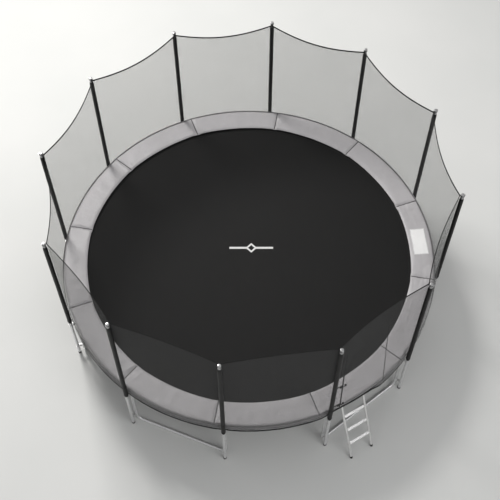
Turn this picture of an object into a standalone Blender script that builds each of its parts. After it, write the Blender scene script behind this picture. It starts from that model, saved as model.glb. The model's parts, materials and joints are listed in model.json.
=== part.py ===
"""Round garden trampoline, 4.88 m across the pad, with a safety net on twelve outside poles.

The frame is twelve curved top rails on six U-shaped legs. Metres, +Z up, and the origin is
on the ground at the centre of the ring. Sockets, spigots, hooks and seats take their sizes
from the piece that they fit, plus a named clearance.
"""
import math

import bmesh
import bpy
from mathutils import Matrix, Vector

# Driving sizes of the frame
SECTIONS = 12                   # poles, rails and pad sections round the ring
POLE_PHASE = math.radians(83)   # angle of the last pole, counted from +X
RING_RADIUS = 2.400             # middle line of the top rail
RAIL_HEIGHT = 0.935             # middle of the top rail above the ground
TUBE_RADIUS = 0.021             # rails, legs and bases
TUBE_WALL = 0.002
TUBE_SIDES = 8
RAIL_STEPS = 6                  # straight facets along one curved rail
GAP = 0.0003                    # between pieces that touch
SLIP = 0.0006                   # between a spigot and its bore
SPIGOT_LENGTH = 0.050
SOCKET_LEAD = 0.085             # from a rail's open end to its leg socket
SOCKET_WALL = 0.0035
SOCKET_DROP = 0.105             # socket mouth below the rail's middle line
SOCKET_RISE = 0.004
SOCKET_ROOF = 0.004             # metal left between the leg's top and the rail
BASE_TOP = 0.300                # where an upright enters its U-shaped base
BEND_RADIUS = 0.090
BEND_STEPS = 4

# Enclosure poles
POLE_ABOVE_RAIL = 1.765         # pole top above the rail's middle line
POLE_TUBE_RADIUS = 0.019
SLEEVE_RADIUS = 0.028           # foam sleeve
SLEEVE_BELOW_RAIL = 0.093
CAP_HEIGHT = 0.070
CAP_RADIUS = 0.021
CAP_CROWN = 0.006
FOOT_HEIGHT = 0.030
CLAMP_GROUND = 0.180            # lower clamp above the ground
CLAMP_BELOW_RAIL = 0.165        # upper clamp below the rail
CLAMP_THICKNESS = 0.045
CLAMP_WALL = 0.006

# Jumping mat and springs
SPRING_ROOM = 0.240             # from the mat's edge to the rail's middle line
MAT_THICKNESS = 0.006
SPRINGS_PER_SECTION = 8
SPRING_WIDTH = 0.014
SPRING_THICKNESS = 0.012
BAND_WIDTH = 0.022              # the row of V rings that the springs hook into

# Safety pad
PAD_SEAM_SHIFT = math.radians(-2.8)
PAD_LAP = 0.030                 # how far a seam's inner end lies over the mat
PAD_OVERHANG = 0.019            # rim past the outside of the rail
PAD_THICKNESS = 0.029
PAD_SKIRT_DROP = 0.030          # skirt's edge below the rail's middle line
PAD_EDGE_ROUND = 0.014
PAD_COLUMNS = 4                 # facets in one section
PATCH_SIZE = (0.190, 0.400)
PATCH_THICKNESS = 0.0015
PATCH_ANGLE = math.radians(4.2)

# Net, top rope and door
NET_THICKNESS = 0.003
NET_ROOM = 0.0087               # between the pad's rim and the net
NET_HEM_DROP = 0.080            # hem below the rail's middle line
NET_TOP_DROP = 0.028            # net's corners below the pole tops
ROPE_SAG = 0.065
NET_BULGE = 0.050               # how far a span bows in past its chord
ENTRANCE_BULGE = 0.070
NET_COLUMNS = 4
ROPE_RADIUS = 0.004
ROPE_SIDES = 6
ENTRANCE = 6                    # the span that holds the door, counted from pole 1
DOOR_RISE = 0.075               # sill above the rail's middle line
DOOR_HEIGHT = 1.320
ZIP_SHIFT = math.radians(3.2)   # from the pole before the entrance to the zip
DOOR_SPAN = math.radians(15.4)
DOOR_GAP = 0.0008
DOOR_COLUMNS = 3
HINGE_STANDOFF = 0.002
SLIDER_SIZE = (0.012, 0.005, 0.030)
SLIDER_SLOPE = 0.0036           # width of each sloping side of the slider
SLIDER_INSET = 0.003
SLIDER_START = 0.012

# Two buckles across the zip
BUCKLE_RISES = (0.090, 0.570)   # above the sill
BUCKLE_WIDTH = 0.028
BUCKLE_TUCK = 0.008             # the tray's mouth, back from the zip line
TRAY_LENGTH = 0.034
TRAY_WALL = 0.003
TRAY_SLIP = 0.0006
TONGUE_ROOM = 0.007             # clear space over the zip slider, under the tongue
TONGUE_THICKNESS = 0.004
TONGUE_BITE = 0.020             # how far the tongue lies in its tray
TONGUE_SHARE = 5 / 7            # of the tray's width, which leaves room for the prongs to flex
CLASP_GAP = 0.005               # between the slider's path and the clasp's foot
CLASP_FOOT = 0.025

# Ladder
LADDER_FACET = 2                # the corner of the entrance rail that the ladder hangs at
LADDER_WIDTH = 0.310            # between the middle lines of the side rails
LADDER_FOOT_OUT = 0.405         # foot of the side rail, out from the hinge
LADDER_TUBE_RADIUS = 0.015
HOOK_RADIUS = 0.006
HOOK_SLIP = 0.0004
HOOK_END = math.radians(150)
HOOK_STEPS = 6
HOOK_NECK = 0.014               # the narrowing between the tube and its hook
RUNGS = 3
RUNG_FIRST = 0.280
RUNG_BELOW_RAIL = 0.195         # top rung below the rail's middle line
RUNG_DEPTH = 0.040
RUNG_THICKNESS = 0.022
NOTCH_SIDE = 0.005              # room beside a ladder tube in the net and the pad
GROOVE_SLIP = 0.0015
NOTCH_RISE = 0.019              # room over a raised ladder tube, above the rail's middle line

# Sizes that follow from the ones above
SOCKET_RADIUS = TUBE_RADIUS + SOCKET_WALL
CLAMP_RADIUS = TUBE_RADIUS + CLAMP_WALL
POLE_TOP = RAIL_HEIGHT + POLE_ABOVE_RAIL
SLEEVE_BOTTOM = RAIL_HEIGHT - SLEEVE_BELOW_RAIL
SLEEVE_TOP = POLE_TOP - CAP_HEIGHT
CLAMP_HEIGHTS = (CLAMP_GROUND, RAIL_HEIGHT - CLAMP_BELOW_RAIL)
MAT_RADIUS = RING_RADIUS - SPRING_ROOM
PAD_SEAM_RADIUS = MAT_RADIUS - PAD_LAP
PAD_RIM_RADIUS = RING_RADIUS + TUBE_RADIUS + PAD_OVERHANG
NET_RADIUS = PAD_RIM_RADIUS + NET_ROOM + NET_THICKNESS
POLE_RADIUS = NET_RADIUS + GAP + SLEEVE_RADIUS
PAD_UNDER = RAIL_HEIGHT + TUBE_RADIUS + GAP
PAD_TOP = PAD_UNDER + PAD_THICKNESS
PAD_SKIRT_BOTTOM = RAIL_HEIGHT - PAD_SKIRT_DROP
PATCH_RADIUS = (PAD_SEAM_RADIUS + RING_RADIUS) / 2
NET_BOTTOM = RAIL_HEIGHT - NET_HEM_DROP
NOTCH_TOP = LADDER_TUBE_RADIUS + NOTCH_RISE
NET_TOP = POLE_TOP - NET_TOP_DROP
DOOR_BOTTOM = RAIL_HEIGHT + DOOR_RISE
DOOR_TOP = DOOR_BOTTOM + DOOR_HEIGHT
BUCKLE_HEIGHTS = [DOOR_BOTTOM + rise for rise in BUCKLE_RISES]
TONGUE_HEIGHT = SLIDER_SIZE[1] + TONGUE_ROOM
RUNG_STEP = (RAIL_HEIGHT - RUNG_BELOW_RAIL - RUNG_FIRST) / (RUNGS - 1)
RUNG_HEIGHTS = [RUNG_FIRST + i * RUNG_STEP for i in range(RUNGS)]

SPAN = math.tau / SECTIONS
X_AXIS, Y_AXIS, Z_AXIS = Vector((1, 0, 0)), Vector((0, 1, 0)), Vector((0, 0, 1))
FLAT = math.cos(math.pi / TUBE_SIDES)   # a facet's distance, as a share of its corner's
ROUNDING = 1e-9                 # angles this near count as equal


def material(name, colour, roughness, metallic=0.0):
    """A plain Principled material."""
    made = bpy.data.materials.new(name)
    made.use_nodes = True
    shader = made.node_tree.nodes["Principled BSDF"]
    shader.inputs["Base Color"].default_value = (*colour, 1.0)
    shader.inputs["Roughness"].default_value = roughness
    shader.inputs["Metallic"].default_value = metallic
    return made


def node(name, mesh, finish, location=(0, 0, 0), turn=0.0, parent=None):
    """Link a mesh into the scene as one sub-part."""
    made = bpy.data.objects.new(name, mesh)
    bpy.context.collection.objects.link(made)
    made.location = location
    made.rotation_euler.z = turn
    made.parent = parent
    if not mesh.materials:
        mesh.materials.append(finish)
    return made


def mesh_of(name, bm, sharp=math.radians(46)):
    """Close the work on a bmesh, with round stretches shaded smooth."""
    bmesh.ops.recalc_face_normals(bm, faces=bm.faces)
    made = bpy.data.meshes.new(name)
    bm.to_mesh(made)
    bm.free()
    made.shade_smooth()
    made.set_sharp_from_angle(angle=sharp)
    return made


def polar(radius, angle, height=0.0):
    """A point from its distance, angle and height."""
    return Vector((radius * math.cos(angle), radius * math.sin(angle), height))


def pole_angle(index):
    """Angle of pole number index, counted from 1."""
    return POLE_PHASE + index * SPAN


def clear_hole(radius):
    """Corner radius of a hole whose flats clear a round bar of this radius."""
    return (radius + GAP) / FLAT


def loft(loops, closed):
    """Skin over equal loops of points, joined end to end or capped."""
    bm = bmesh.new()
    rows = [[bm.verts.new(point) for point in loop] for loop in loops]
    pairs = list(zip(rows, rows[1:] + rows[:1] if closed else rows[1:]))
    for first, second in pairs:
        for i in range(len(first)):
            j = (i + 1) % len(first)
            bm.faces.new((first[i], first[j], second[j], second[i]))
    if not closed:
        bm.faces.new(list(reversed(rows[0])))
        bm.faces.new(rows[-1])
    return bm


def circle(centre, along, side, radius, sides=TUBE_SIDES):
    """Corners of a polygon square to along, the first one towards side."""
    other = along.normalized().cross(side)
    steps = [math.tau * i / sides for i in range(sides)]
    return [centre + radius * (math.cos(a) * side + math.sin(a) * other) for a in steps]


def tube(stations, side, sides=TUBE_SIDES):
    """A bar of changing radius through (centre, direction, radius) stations."""
    return loft([circle(c, d, side, r, sides) for c, d, r in stations], closed=False)


def turned(profile, sides=TUBE_SIDES):
    """A turned piece round the Z axis from (radius, height) pairs."""
    return tube([(Z_AXIS * z, Z_AXIS, r) for r, z in profile], X_AXIS, sides)


def prism(outline, base, first, second, run):
    """Extrude a flat outline, given along two directions, by the vector run."""
    near = [base + a * first + b * second for a, b in outline]
    return loft([near, [point + run for point in near]], closed=False)


def block(low, high):
    """A box between two corners."""
    outline = [(low[0], low[1]), (high[0], low[1]), (high[0], high[1]), (low[0], high[1])]
    return prism(outline, Z_AXIS * low[2], X_AXIS, Y_AXIS, Z_AXIS * (high[2] - low[2]))


def combine(body, tools, operation):
    """Run exact Booleans of one bmesh with others and return the mesh."""
    base = bpy.data.objects.new("base", mesh_of("base", body))
    bpy.context.collection.objects.link(base)
    helpers = [base]
    for tool in tools:
        helper = bpy.data.objects.new("tool", mesh_of("tool", tool))
        bpy.context.collection.objects.link(helper)
        helpers.append(helper)
        step = base.modifiers.new("boolean", "BOOLEAN")
        step.operation = operation
        step.object = helper
    graph = bpy.context.evaluated_depsgraph_get()
    result = bpy.data.meshes.new_from_object(base.evaluated_get(graph))
    for helper in helpers:
        bpy.data.objects.remove(helper)
    bm = bmesh.new()
    bm.from_mesh(result)
    bpy.data.meshes.remove(result)
    return bm


# Frame ---------------------------------------------------------------------------------


def rail_angles():
    """Angles of a rail's facets, measured from its own leg socket."""
    start = -SOCKET_LEAD / RING_RADIUS
    end = start + SPAN - GAP / RING_RADIUS
    return [start + (end - start) * i / RAIL_STEPS for i in range(RAIL_STEPS + 1)]


def rail_mesh():
    """One curved rail: bored end, leg socket, and a spigot for the next rail."""
    def station(angle, radius):
        return polar(RING_RADIUS, angle), polar(1, angle + math.pi / 2), radius
    angles = rail_angles()
    bore = TUBE_RADIUS - TUBE_WALL
    spigot = bore - SLIP
    bore_end = angles[0] + (SPIGOT_LENGTH + TUBE_WALL) / RING_RADIUS
    tip = angles[-1] + SPIGOT_LENGTH / RING_RADIUS
    stations = [station(bore_end, bore), station(angles[0], bore)]
    stations += [station(angle, TUBE_RADIUS) for angle in angles]
    stations += [station(angles[-1], spigot), station(tip, spigot)]
    shift = Matrix.Translation((RING_RADIUS, 0, 0))
    socket = turned([(SOCKET_RADIUS, -SOCKET_DROP), (SOCKET_RADIUS, SOCKET_RISE)])
    socket.transform(shift)
    roof = -TUBE_RADIUS - SOCKET_ROOF
    hole = clear_hole(TUBE_RADIUS)
    bore_tool = turned([(hole, -SOCKET_DROP - TUBE_WALL), (hole, roof)])
    bore_tool.transform(shift)
    whole = combine(tube(stations, Z_AXIS), [socket], "UNION")
    return mesh_of("top_rail", combine(whole, [bore_tool], "DIFFERENCE"))


def upright_mesh():
    """A straight leg tube with a spigot that enters the base."""
    spigot = TUBE_RADIUS - TUBE_WALL - SLIP
    top = RAIL_HEIGHT - TUBE_RADIUS - SOCKET_ROOF - GAP
    profile = [(spigot, BASE_TOP - SPIGOT_LENGTH), (spigot, BASE_TOP + GAP),
               (TUBE_RADIUS, BASE_TOP + GAP), (TUBE_RADIUS, top)]
    return mesh_of("leg_upright", turned(profile))


def base_mesh():
    """A U-shaped ground tube between two neighbouring poles, square to +X."""
    out = RING_RADIUS * math.cos(SPAN / 2)
    half = RING_RADIUS * math.sin(SPAN / 2)
    bore = clear_hole(TUBE_RADIUS - TUBE_WALL - SLIP)
    corner = Vector((out, half - BEND_RADIUS, TUBE_RADIUS + BEND_RADIUS))
    depth = BASE_TOP - SPIGOT_LENGTH - TUBE_WALL
    side = [(Vector((out, half, depth)), -Z_AXIS, bore),
            (Vector((out, half, BASE_TOP)), -Z_AXIS, bore),
            (Vector((out, half, BASE_TOP)), -Z_AXIS, TUBE_RADIUS)]
    for i in range(BEND_STEPS + 1):
        a = math.pi / 2 * i / BEND_STEPS
        point = corner + BEND_RADIUS * Vector((0, math.cos(a), -math.sin(a)))
        side.append((point, Vector((0, -math.sin(a), -math.cos(a))), TUBE_RADIUS))
    mirrored = [(Vector((c.x, -c.y, c.z)), Vector((0, d.y, -d.z)), r) for c, d, r in reversed(side)]
    return mesh_of("leg_base", tube(side + mirrored, X_AXIS))


def clamp(height):
    """A clamp plate round the pole, with a hole for the leg tube beside it."""
    reach = POLE_RADIUS - RING_RADIUS
    outline = []
    for centre, start in ((0.0, -math.pi / 2), (-reach, math.pi / 2)):
        for i in range(TUBE_SIDES // 2 + 1):
            a = start + math.pi * i / (TUBE_SIDES // 2)
            outline.append((centre + CLAMP_RADIUS * math.cos(a), CLAMP_RADIUS * math.sin(a)))
    low = height - CLAMP_THICKNESS / 2
    body = prism(outline, Z_AXIS * low, X_AXIS, Y_AXIS, Z_AXIS * CLAMP_THICKNESS)
    hole = clear_hole(TUBE_RADIUS)
    tool = turned([(hole, low - TUBE_WALL), (hole, low + CLAMP_THICKNESS + TUBE_WALL)])
    tool.transform(Matrix.Translation((-reach, 0, 0)))
    return combine(body, [tool], "DIFFERENCE")


def pole_mesh():
    """An enclosure pole with its foot, foam sleeve, top cap and two leg clamps."""
    profile = [(CAP_RADIUS, 0), (CAP_RADIUS, FOOT_HEIGHT),
               (POLE_TUBE_RADIUS, FOOT_HEIGHT), (POLE_TUBE_RADIUS, SLEEVE_BOTTOM),
               (SLEEVE_RADIUS, SLEEVE_BOTTOM), (SLEEVE_RADIUS, SLEEVE_TOP),
               (CAP_RADIUS, SLEEVE_TOP), (CAP_RADIUS, POLE_TOP - CAP_CROWN),
               (CAP_RADIUS - CAP_CROWN, POLE_TOP)]
    clamps = [clamp(height) for height in CLAMP_HEIGHTS]
    return mesh_of("enclosure_pole", combine(turned(profile), clamps, "UNION"))


def build_frame(steel, foam):
    """Rails, uprights, bases and poles, each its own object on a shared mesh."""
    rail, upright, pole, base = rail_mesh(), upright_mesh(), pole_mesh(), base_mesh()
    for k in range(1, SECTIONS + 1):
        angle = pole_angle(k)
        node(f"top_rail_{k:02d}", rail, steel, (0, 0, RAIL_HEIGHT), angle)
        node(f"leg_upright_{k:02d}", upright, steel, polar(RING_RADIUS, angle), angle)
        node(f"enclosure_pole_{k:02d}", pole, foam, polar(POLE_RADIUS, angle), angle)
    for k in range(1, SECTIONS // 2 + 1):
        node(f"leg_base_{k}", base, steel, turn=pole_angle(2 * k - 0.5))


# Mat, springs and pad ------------------------------------------------------------------


def spring_angles():
    """Angles of the springs' middle lines."""
    count = SECTIONS * SPRINGS_PER_SECTION
    return [POLE_PHASE + (i + 0.5) * math.tau / count for i in range(count)]


def mat_mesh():
    """The jumping mat, a flat disc with a corner behind each spring."""
    rim = [polar(MAT_RADIUS, angle, -MAT_THICKNESS / 2) for angle in spring_angles()]
    bm = loft([rim, [point + Z_AXIS * MAT_THICKNESS for point in rim]], closed=False)
    return mesh_of("jumping_mat", bm)


def spring_mesh():
    """The V-ring band round the mat, and one bar for each spring out to the rail."""
    inner = MAT_RADIUS + GAP
    outer = inner + BAND_WIDTH
    half = SPRING_WIDTH / 2 / outer
    half_z = SPRING_THICKNESS / 2
    facet = math.cos(SPAN / RAIL_STEPS / 2)
    reach = (RING_RADIUS - TUBE_RADIUS) * facet - GAP
    loops = []
    for angle in spring_angles():
        for side in (-half, half):
            corners = ((inner, -half_z), (outer, -half_z), (outer, half_z), (inner, half_z))
            loops.append([polar(r, angle + side, z) for r, z in corners])
    bm = loft(loops, closed=True)
    bm.normal_update()
    bars = []
    for face in bm.faces:
        middle = face.calc_center_median()
        wide = max(edge.calc_length() for edge in face.edges)
        if middle.xy.length > outer * math.cos(half) - GAP and wide < SPRING_WIDTH + GAP:
            bars.append(face)
    for face in bars:
        middle = face.calc_center_median()
        out = Vector((middle.x, middle.y, 0)).normalized()
        grown = bmesh.ops.extrude_discrete_faces(bm, faces=[face])["faces"][0]
        bmesh.ops.translate(bm, verts=grown.verts, vec=out * (reach - middle.xy.length))
    return mesh_of("spring_set", bm)


def ladder_angle():
    """Direction of the ladder, over a corner of the faceted rail."""
    return pole_angle(ENTRANCE + 1) + rail_angles()[LADDER_FACET]


def hinge_out():
    """The ladder's hinge line, out from the centre, through the rail at both hooks."""
    step = rail_angles()[1] - rail_angles()[0]
    aside = LADDER_WIDTH / 2
    corner = int(math.asin(aside / RING_RADIUS) / step)
    near, far = polar(RING_RADIUS, corner * step), polar(RING_RADIUS, (corner + 1) * step)
    return near.lerp(far, (aside - near.y) / (far.y - near.y)).x


def ladder_place():
    """Matrix of the ladder's hinge: X out, Y along the hinge, Z up."""
    place = Matrix.Rotation(ladder_angle(), 4, "Z")
    place.translation = polar(hinge_out(), ladder_angle(), RAIL_HEIGHT)
    return place


def hook_circle():
    """Radius of the hook's middle line round the rail."""
    first, last = ladder_line()[1], HOOK_END
    half_step = (last - first) / HOOK_STEPS / 2
    return (TUBE_RADIUS + HOOK_SLIP + HOOK_RADIUS) / math.cos(half_step)


def ladder_line():
    """The ladder tube's foot, and the angle where the tube meets the hook's circle."""
    foot = Vector((LADDER_FOOT_OUT, 0, -RAIL_HEIGHT))
    circle_radius = TUBE_RADIUS + HOOK_SLIP + HOOK_RADIUS
    meet = math.atan2(foot.z, foot.x) + math.acos(circle_radius / foot.length)
    return foot, meet


def hook_cutters():
    """Slots and grooves that let the ladder's tubes and hooks swing past the net and pad."""
    slots, grooves = [], []
    place = ladder_place()
    wide = LADDER_TUBE_RADIUS + NOTCH_SIDE
    half = HOOK_RADIUS + GROOVE_SLIP
    groove = (hook_circle() + half) / FLAT
    reach = POLE_RADIUS - hinge_out()
    for side in (-1, 1):
        middle = side * LADDER_WIDTH / 2
        low = (TUBE_RADIUS, middle - wide, -NET_HEM_DROP - TUBE_RADIUS)
        slots.append(block(low, (reach, middle + wide, NOTCH_TOP)))
        ends = [(Y_AXIS * (middle + aside), Y_AXIS, groove) for aside in (-half, half)]
        grooves.append(tube(ends, Z_AXIS))
    for tool in slots + grooves:
        tool.transform(place)
    return slots, grooves


def pad_mesh():
    """The padded ring over the springs, straight inside between its seams."""
    chord = math.cos(SPAN / PAD_COLUMNS / 2)
    skirt_inner = (RING_RADIUS + SOCKET_RADIUS + GAP) / chord
    loops = []
    for i in range(SECTIONS * PAD_COLUMNS):
        angle = POLE_PHASE + PAD_SEAM_SHIFT + i * SPAN / PAD_COLUMNS
        across = (i % PAD_COLUMNS) * SPAN / PAD_COLUMNS - SPAN / 2
        inside = PAD_SEAM_RADIUS * math.cos(SPAN / 2) / math.cos(across)
        section = ((inside, PAD_UNDER), (inside, PAD_TOP - PAD_EDGE_ROUND / 2),
                   (inside + PAD_EDGE_ROUND, PAD_TOP), (PAD_RIM_RADIUS - PAD_EDGE_ROUND, PAD_TOP),
                   (PAD_RIM_RADIUS, PAD_TOP - PAD_EDGE_ROUND), (PAD_RIM_RADIUS, PAD_SKIRT_BOTTOM),
                   (skirt_inner, PAD_SKIRT_BOTTOM), (skirt_inner, PAD_UNDER))
        loops.append([polar(r, angle, z) for r, z in section])
    slots, grooves = hook_cutters()
    return mesh_of("safety_pad", combine(loft(loops, closed=True), slots + grooves, "DIFFERENCE"))


def patch_mesh():
    """A blank sewn patch, long side along the rim."""
    half = Vector((PATCH_SIZE[0] / 2, PATCH_SIZE[1] / 2))
    return mesh_of("blank_patch", block((-half.x, -half.y, 0), (half.x, half.y, PATCH_THICKNESS)))


def build_bed(mat, spring, pad, patch):
    """Mat, springs, pad and the blank patch on it."""
    node("jumping_mat", mat_mesh(), mat, (0, 0, RAIL_HEIGHT))
    node("spring_set", spring_mesh(), spring, (0, 0, RAIL_HEIGHT))
    node("safety_pad", pad_mesh(), pad)
    spot = polar(PATCH_RADIUS, PATCH_ANGLE, PAD_TOP + GAP)
    node("blank_patch", patch_mesh(), patch, spot, PATCH_ANGLE)


# Net, rope and door --------------------------------------------------------------------


def span_share(angle):
    """The span that an angle is in, and its place there from -1 to 1."""
    turns = (angle - pole_angle(1)) / SPAN
    span = math.floor(turns + ROUNDING)
    return span % SECTIONS, 2 * (turns - span) - 1


def net_top(angle):
    """Radius of the outer face and height at the top edge of the net."""
    span, share = span_share(angle)
    bulge = ENTRANCE_BULGE if span == ENTRANCE else NET_BULGE
    chord = NET_RADIUS * math.cos(SPAN / 2) / math.cos(share * SPAN / 2)
    bow = 1 - share * share
    return chord - bulge * bow, NET_TOP - ROPE_SAG * bow


def net_point(angle, height, inset=0.0):
    """A point of the net's outer face, or inset from it: upright to the sill, then leaning in."""
    top_radius, top_height = net_top(angle)
    height = min(height, top_height)
    lean = max(0.0, (height - DOOR_BOTTOM) / (top_height - DOOR_BOTTOM))
    radius = NET_RADIUS + (top_radius - NET_RADIUS) * lean
    return polar(radius - inset, angle, height)


def sheet_cells(columns, heights, empty, falling=False, closed=False):
    """A thick sheet of cells over the net's surface, open at the empty cells."""
    bm = bmesh.new()
    grid = []
    for inset in (0.0, NET_THICKNESS):
        grid.append([[bm.verts.new(net_point(a, z, inset)) for z in heights] for a in columns])
    count = len(columns) if closed else len(columns) - 1
    rows = len(heights) - 1
    filled = {(i, j) for i in range(count) for j in range(rows)} - set(empty)
    for i, j in sorted(filled):
        k = (i + 1) % len(columns)
        for layer in grid:
            low_left, low_right = layer[i][j], layer[k][j]
            high_left, high_right = layer[i][j + 1], layer[k][j + 1]
            if falling:
                bm.faces.new((low_left, low_right, high_left))
                bm.faces.new((low_right, high_right, high_left))
            else:
                bm.faces.new((low_left, low_right, high_right))
                bm.faces.new((low_left, high_right, high_left))
        before = (i - 1) % count if closed else i - 1
        after = (i + 1) % count if closed else i + 1
        walls = (((before, j), (i, j), (i, j + 1)), ((after, j), (k, j), (k, j + 1)),
                 ((i, j - 1), (i, j), (k, j)), ((i, j + 1), (i, j + 1), (k, j + 1)))
        for neighbour, first, second in walls:
            if neighbour not in filled:
                corners = [grid[0][first[0]][first[1]], grid[0][second[0]][second[1]],
                           grid[1][second[0]][second[1]], grid[1][first[0]][first[1]]]
                bm.faces.new(corners)
    loose = [vert for vert in bm.verts if not vert.link_faces]
    bmesh.ops.delete(bm, geom=loose, context="VERTS")
    return bm


def zip_angle():
    """Angle of the zip, at the free edge of the door."""
    return pole_angle(ENTRANCE + 1) + ZIP_SHIFT


def hinge_angle():
    """Angle of the seam that the door turns on."""
    return zip_angle() + DOOR_SPAN


def door_angles(shrink=0.0):
    """Angles of the facets across the doorway, drawn in at both ends for the door."""
    first, last = zip_angle() + shrink, hinge_angle() - shrink
    return [first + (last - first) * i / DOOR_COLUMNS for i in range(DOOR_COLUMNS + 1)]


def net_columns():
    """Angles of the net's facets, with its own ones at the entrance."""
    first, last = pole_angle(ENTRANCE + 1), pole_angle(ENTRANCE + 2)
    angles = [pole_angle(1) + i * SPAN / NET_COLUMNS for i in range(SECTIONS * NET_COLUMNS)]
    outside = [a for a in angles if a < first + ROUNDING or a > last - ROUNDING]
    return sorted(outside + door_angles() + [(hinge_angle() + last) / 2])


def net_mesh():
    """The netting wall with its doorway and the two ladder notches."""
    columns = net_columns()
    heights = [NET_BOTTOM, DOOR_BOTTOM, DOOR_TOP, POLE_TOP]
    first = columns.index(zip_angle())
    doorway = [(first + i, 1) for i in range(DOOR_COLUMNS)]
    wall = sheet_cells(columns, heights, doorway, closed=True)
    return mesh_of("enclosure_net", combine(wall, hook_cutters()[0], "DIFFERENCE"))


def rope_mesh():
    """The rope along the net's top edge, in one closed loop."""
    loops = []
    for angle in net_columns():
        radius, height = net_top(angle)
        centre = polar(radius - NET_THICKNESS / 2, angle, height + ROPE_RADIUS + GAP)
        along = polar(1, angle + math.pi / 2)
        loops.append(circle(centre, along, Z_AXIS, ROPE_RADIUS, ROPE_SIDES))
    return mesh_of("net_top_rope", loft(loops, closed=True))


def hinge_line():
    """Two points of the door's hinge, just off the net's outer face."""
    angle = hinge_angle()
    return [net_point(angle, z, -HINGE_STANDOFF) for z in (DOOR_BOTTOM, DOOR_TOP)]


def zip_plane(next_low):
    """Axes at the foot of the zip: across it, out of the net, and along it."""
    low, high = net_point(zip_angle(), DOOR_BOTTOM), net_point(zip_angle(), DOOR_TOP)
    along = (high - low).normalized()
    normal = (next_low - low).cross(along).normalized()
    if normal.dot(polar(1, zip_angle())) < 0:
        normal.negate()
    return low, along.cross(normal), normal, along


def tray_plane():
    """The zip's plane on the pole side, where the buckle trays are sewn."""
    return zip_plane(net_point(pole_angle(ENTRANCE + 1), DOOR_BOTTOM))


def door_plane():
    """The zip's plane on the door side."""
    return zip_plane(net_point(door_angles(DOOR_GAP / NET_RADIUS)[1], DOOR_BOTTOM))


def door_mesh():
    """The netting door, cut from the same surface as the net."""
    heights = [DOOR_BOTTOM + DOOR_GAP, DOOR_TOP - DOOR_GAP]
    return mesh_of("net_door", sheet_cells(door_angles(DOOR_GAP / NET_RADIUS), heights, (), falling=True))


def slider_mesh():
    """The zip's slider, at the foot of the door's free edge."""
    low, across, normal, along = door_plane()
    wide, deep, tall = SLIDER_SIZE
    outline = ((0, 0), (wide, 0), (wide, deep / 2), (wide - SLIDER_SLOPE, deep),
               (SLIDER_SLOPE, deep), (0, deep / 2))
    base = low + across * (SLIDER_INSET + DOOR_GAP) + normal * GAP + along * SLIDER_START
    return mesh_of("zip_slider", prism(outline, base, across, normal, along * tall))


def tray_mesh(height):
    """The fixed half of a buckle: a channel, open outwards, that the tongue lies in."""
    low, across, normal, along = tray_plane()
    half = BUCKLE_WIDTH / 2
    rim = TONGUE_HEIGHT + TONGUE_THICKNESS
    floor = TONGUE_HEIGHT - TRAY_SLIP - GAP
    outline = ((-half - TRAY_WALL, 0), (half + TRAY_WALL, 0), (half + TRAY_WALL, rim), (half, rim),
               (half, floor), (-half, floor), (-half, rim), (-half - TRAY_WALL, rim))
    rise = (height - DOOR_BOTTOM) / along.z
    base = low + along * rise + normal * GAP - across * (BUCKLE_TUCK + TRAY_LENGTH)
    return mesh_of("buckle_tray", prism(outline, base, along, normal, across * TRAY_LENGTH))


def clasp_mesh(height):
    """The moving half of a buckle: a tongue, and the foot that is sewn to the door."""
    low, across, normal, along = tray_plane()
    door_normal = door_plane()[2]
    fall = -across.dot(door_normal) / normal.dot(door_normal)
    near = SLIDER_INSET + DOOR_GAP + SLIDER_SIZE[0] + CLASP_GAP
    far = near + CLASP_FOOT
    tip = -BUCKLE_TUCK - TONGUE_BITE
    top = TONGUE_HEIGHT + TONGUE_THICKNESS
    outline = ((tip, TONGUE_HEIGHT), (near, TONGUE_HEIGHT), (near, near * fall + GAP * 2),
               (far, far * fall + GAP * 2), (far, top), (tip, top))
    slim = BUCKLE_WIDTH / 2 * TONGUE_SHARE
    rise = (height - DOOR_BOTTOM) / along.z
    base = low + along * (rise - slim)
    return mesh_of("buckle_clasp", prism(outline, base, across, normal, along * 2 * slim))


def build_enclosure(net, rope, plastic):
    """Net, rope, door, zip slider and buckles."""
    node("enclosure_net", net_mesh(), net)
    node("net_top_rope", rope_mesh(), rope)
    node("net_door", door_mesh(), net)
    node("zip_slider", slider_mesh(), plastic)
    for name, height in zip(("lower", "upper"), BUCKLE_HEIGHTS):
        node(f"buckle_tray_{name}", tray_mesh(height), plastic)
        node(f"buckle_clasp_{name}", clasp_mesh(height), plastic)


# Ladder --------------------------------------------------------------------------------


def ladder_rail_mesh():
    """A ladder tube that narrows into a hook over the top rail."""
    foot, meet = ladder_line()
    radius = hook_circle()
    start = Vector((math.cos(meet), 0, math.sin(meet))) * radius
    along = (start - foot).normalized()
    tip_drop = LADDER_TUBE_RADIUS * math.sqrt(1 - along.z ** 2)
    foot = foot + along * (tip_drop + GAP) / along.z
    beside = TUBE_RADIUS + HOOK_SLIP + LADDER_TUBE_RADIUS
    shoulder = math.sqrt(beside ** 2 - (radius - HOOK_RADIUS) ** 2) + HOOK_RADIUS
    stations = [(foot, along, LADDER_TUBE_RADIUS),
                (start - along * shoulder, along, LADDER_TUBE_RADIUS),
                (start - along * (shoulder - HOOK_NECK), along, HOOK_RADIUS)]
    for i in range(HOOK_STEPS + 1):
        a = meet + (HOOK_END - meet) * i / HOOK_STEPS
        point = Vector((math.cos(a), 0, math.sin(a))) * radius
        stations.append((point, Vector((-math.sin(a), 0, math.cos(a))), HOOK_RADIUS))
    return mesh_of("ladder_rail", tube(stations, Y_AXIS))


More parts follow.
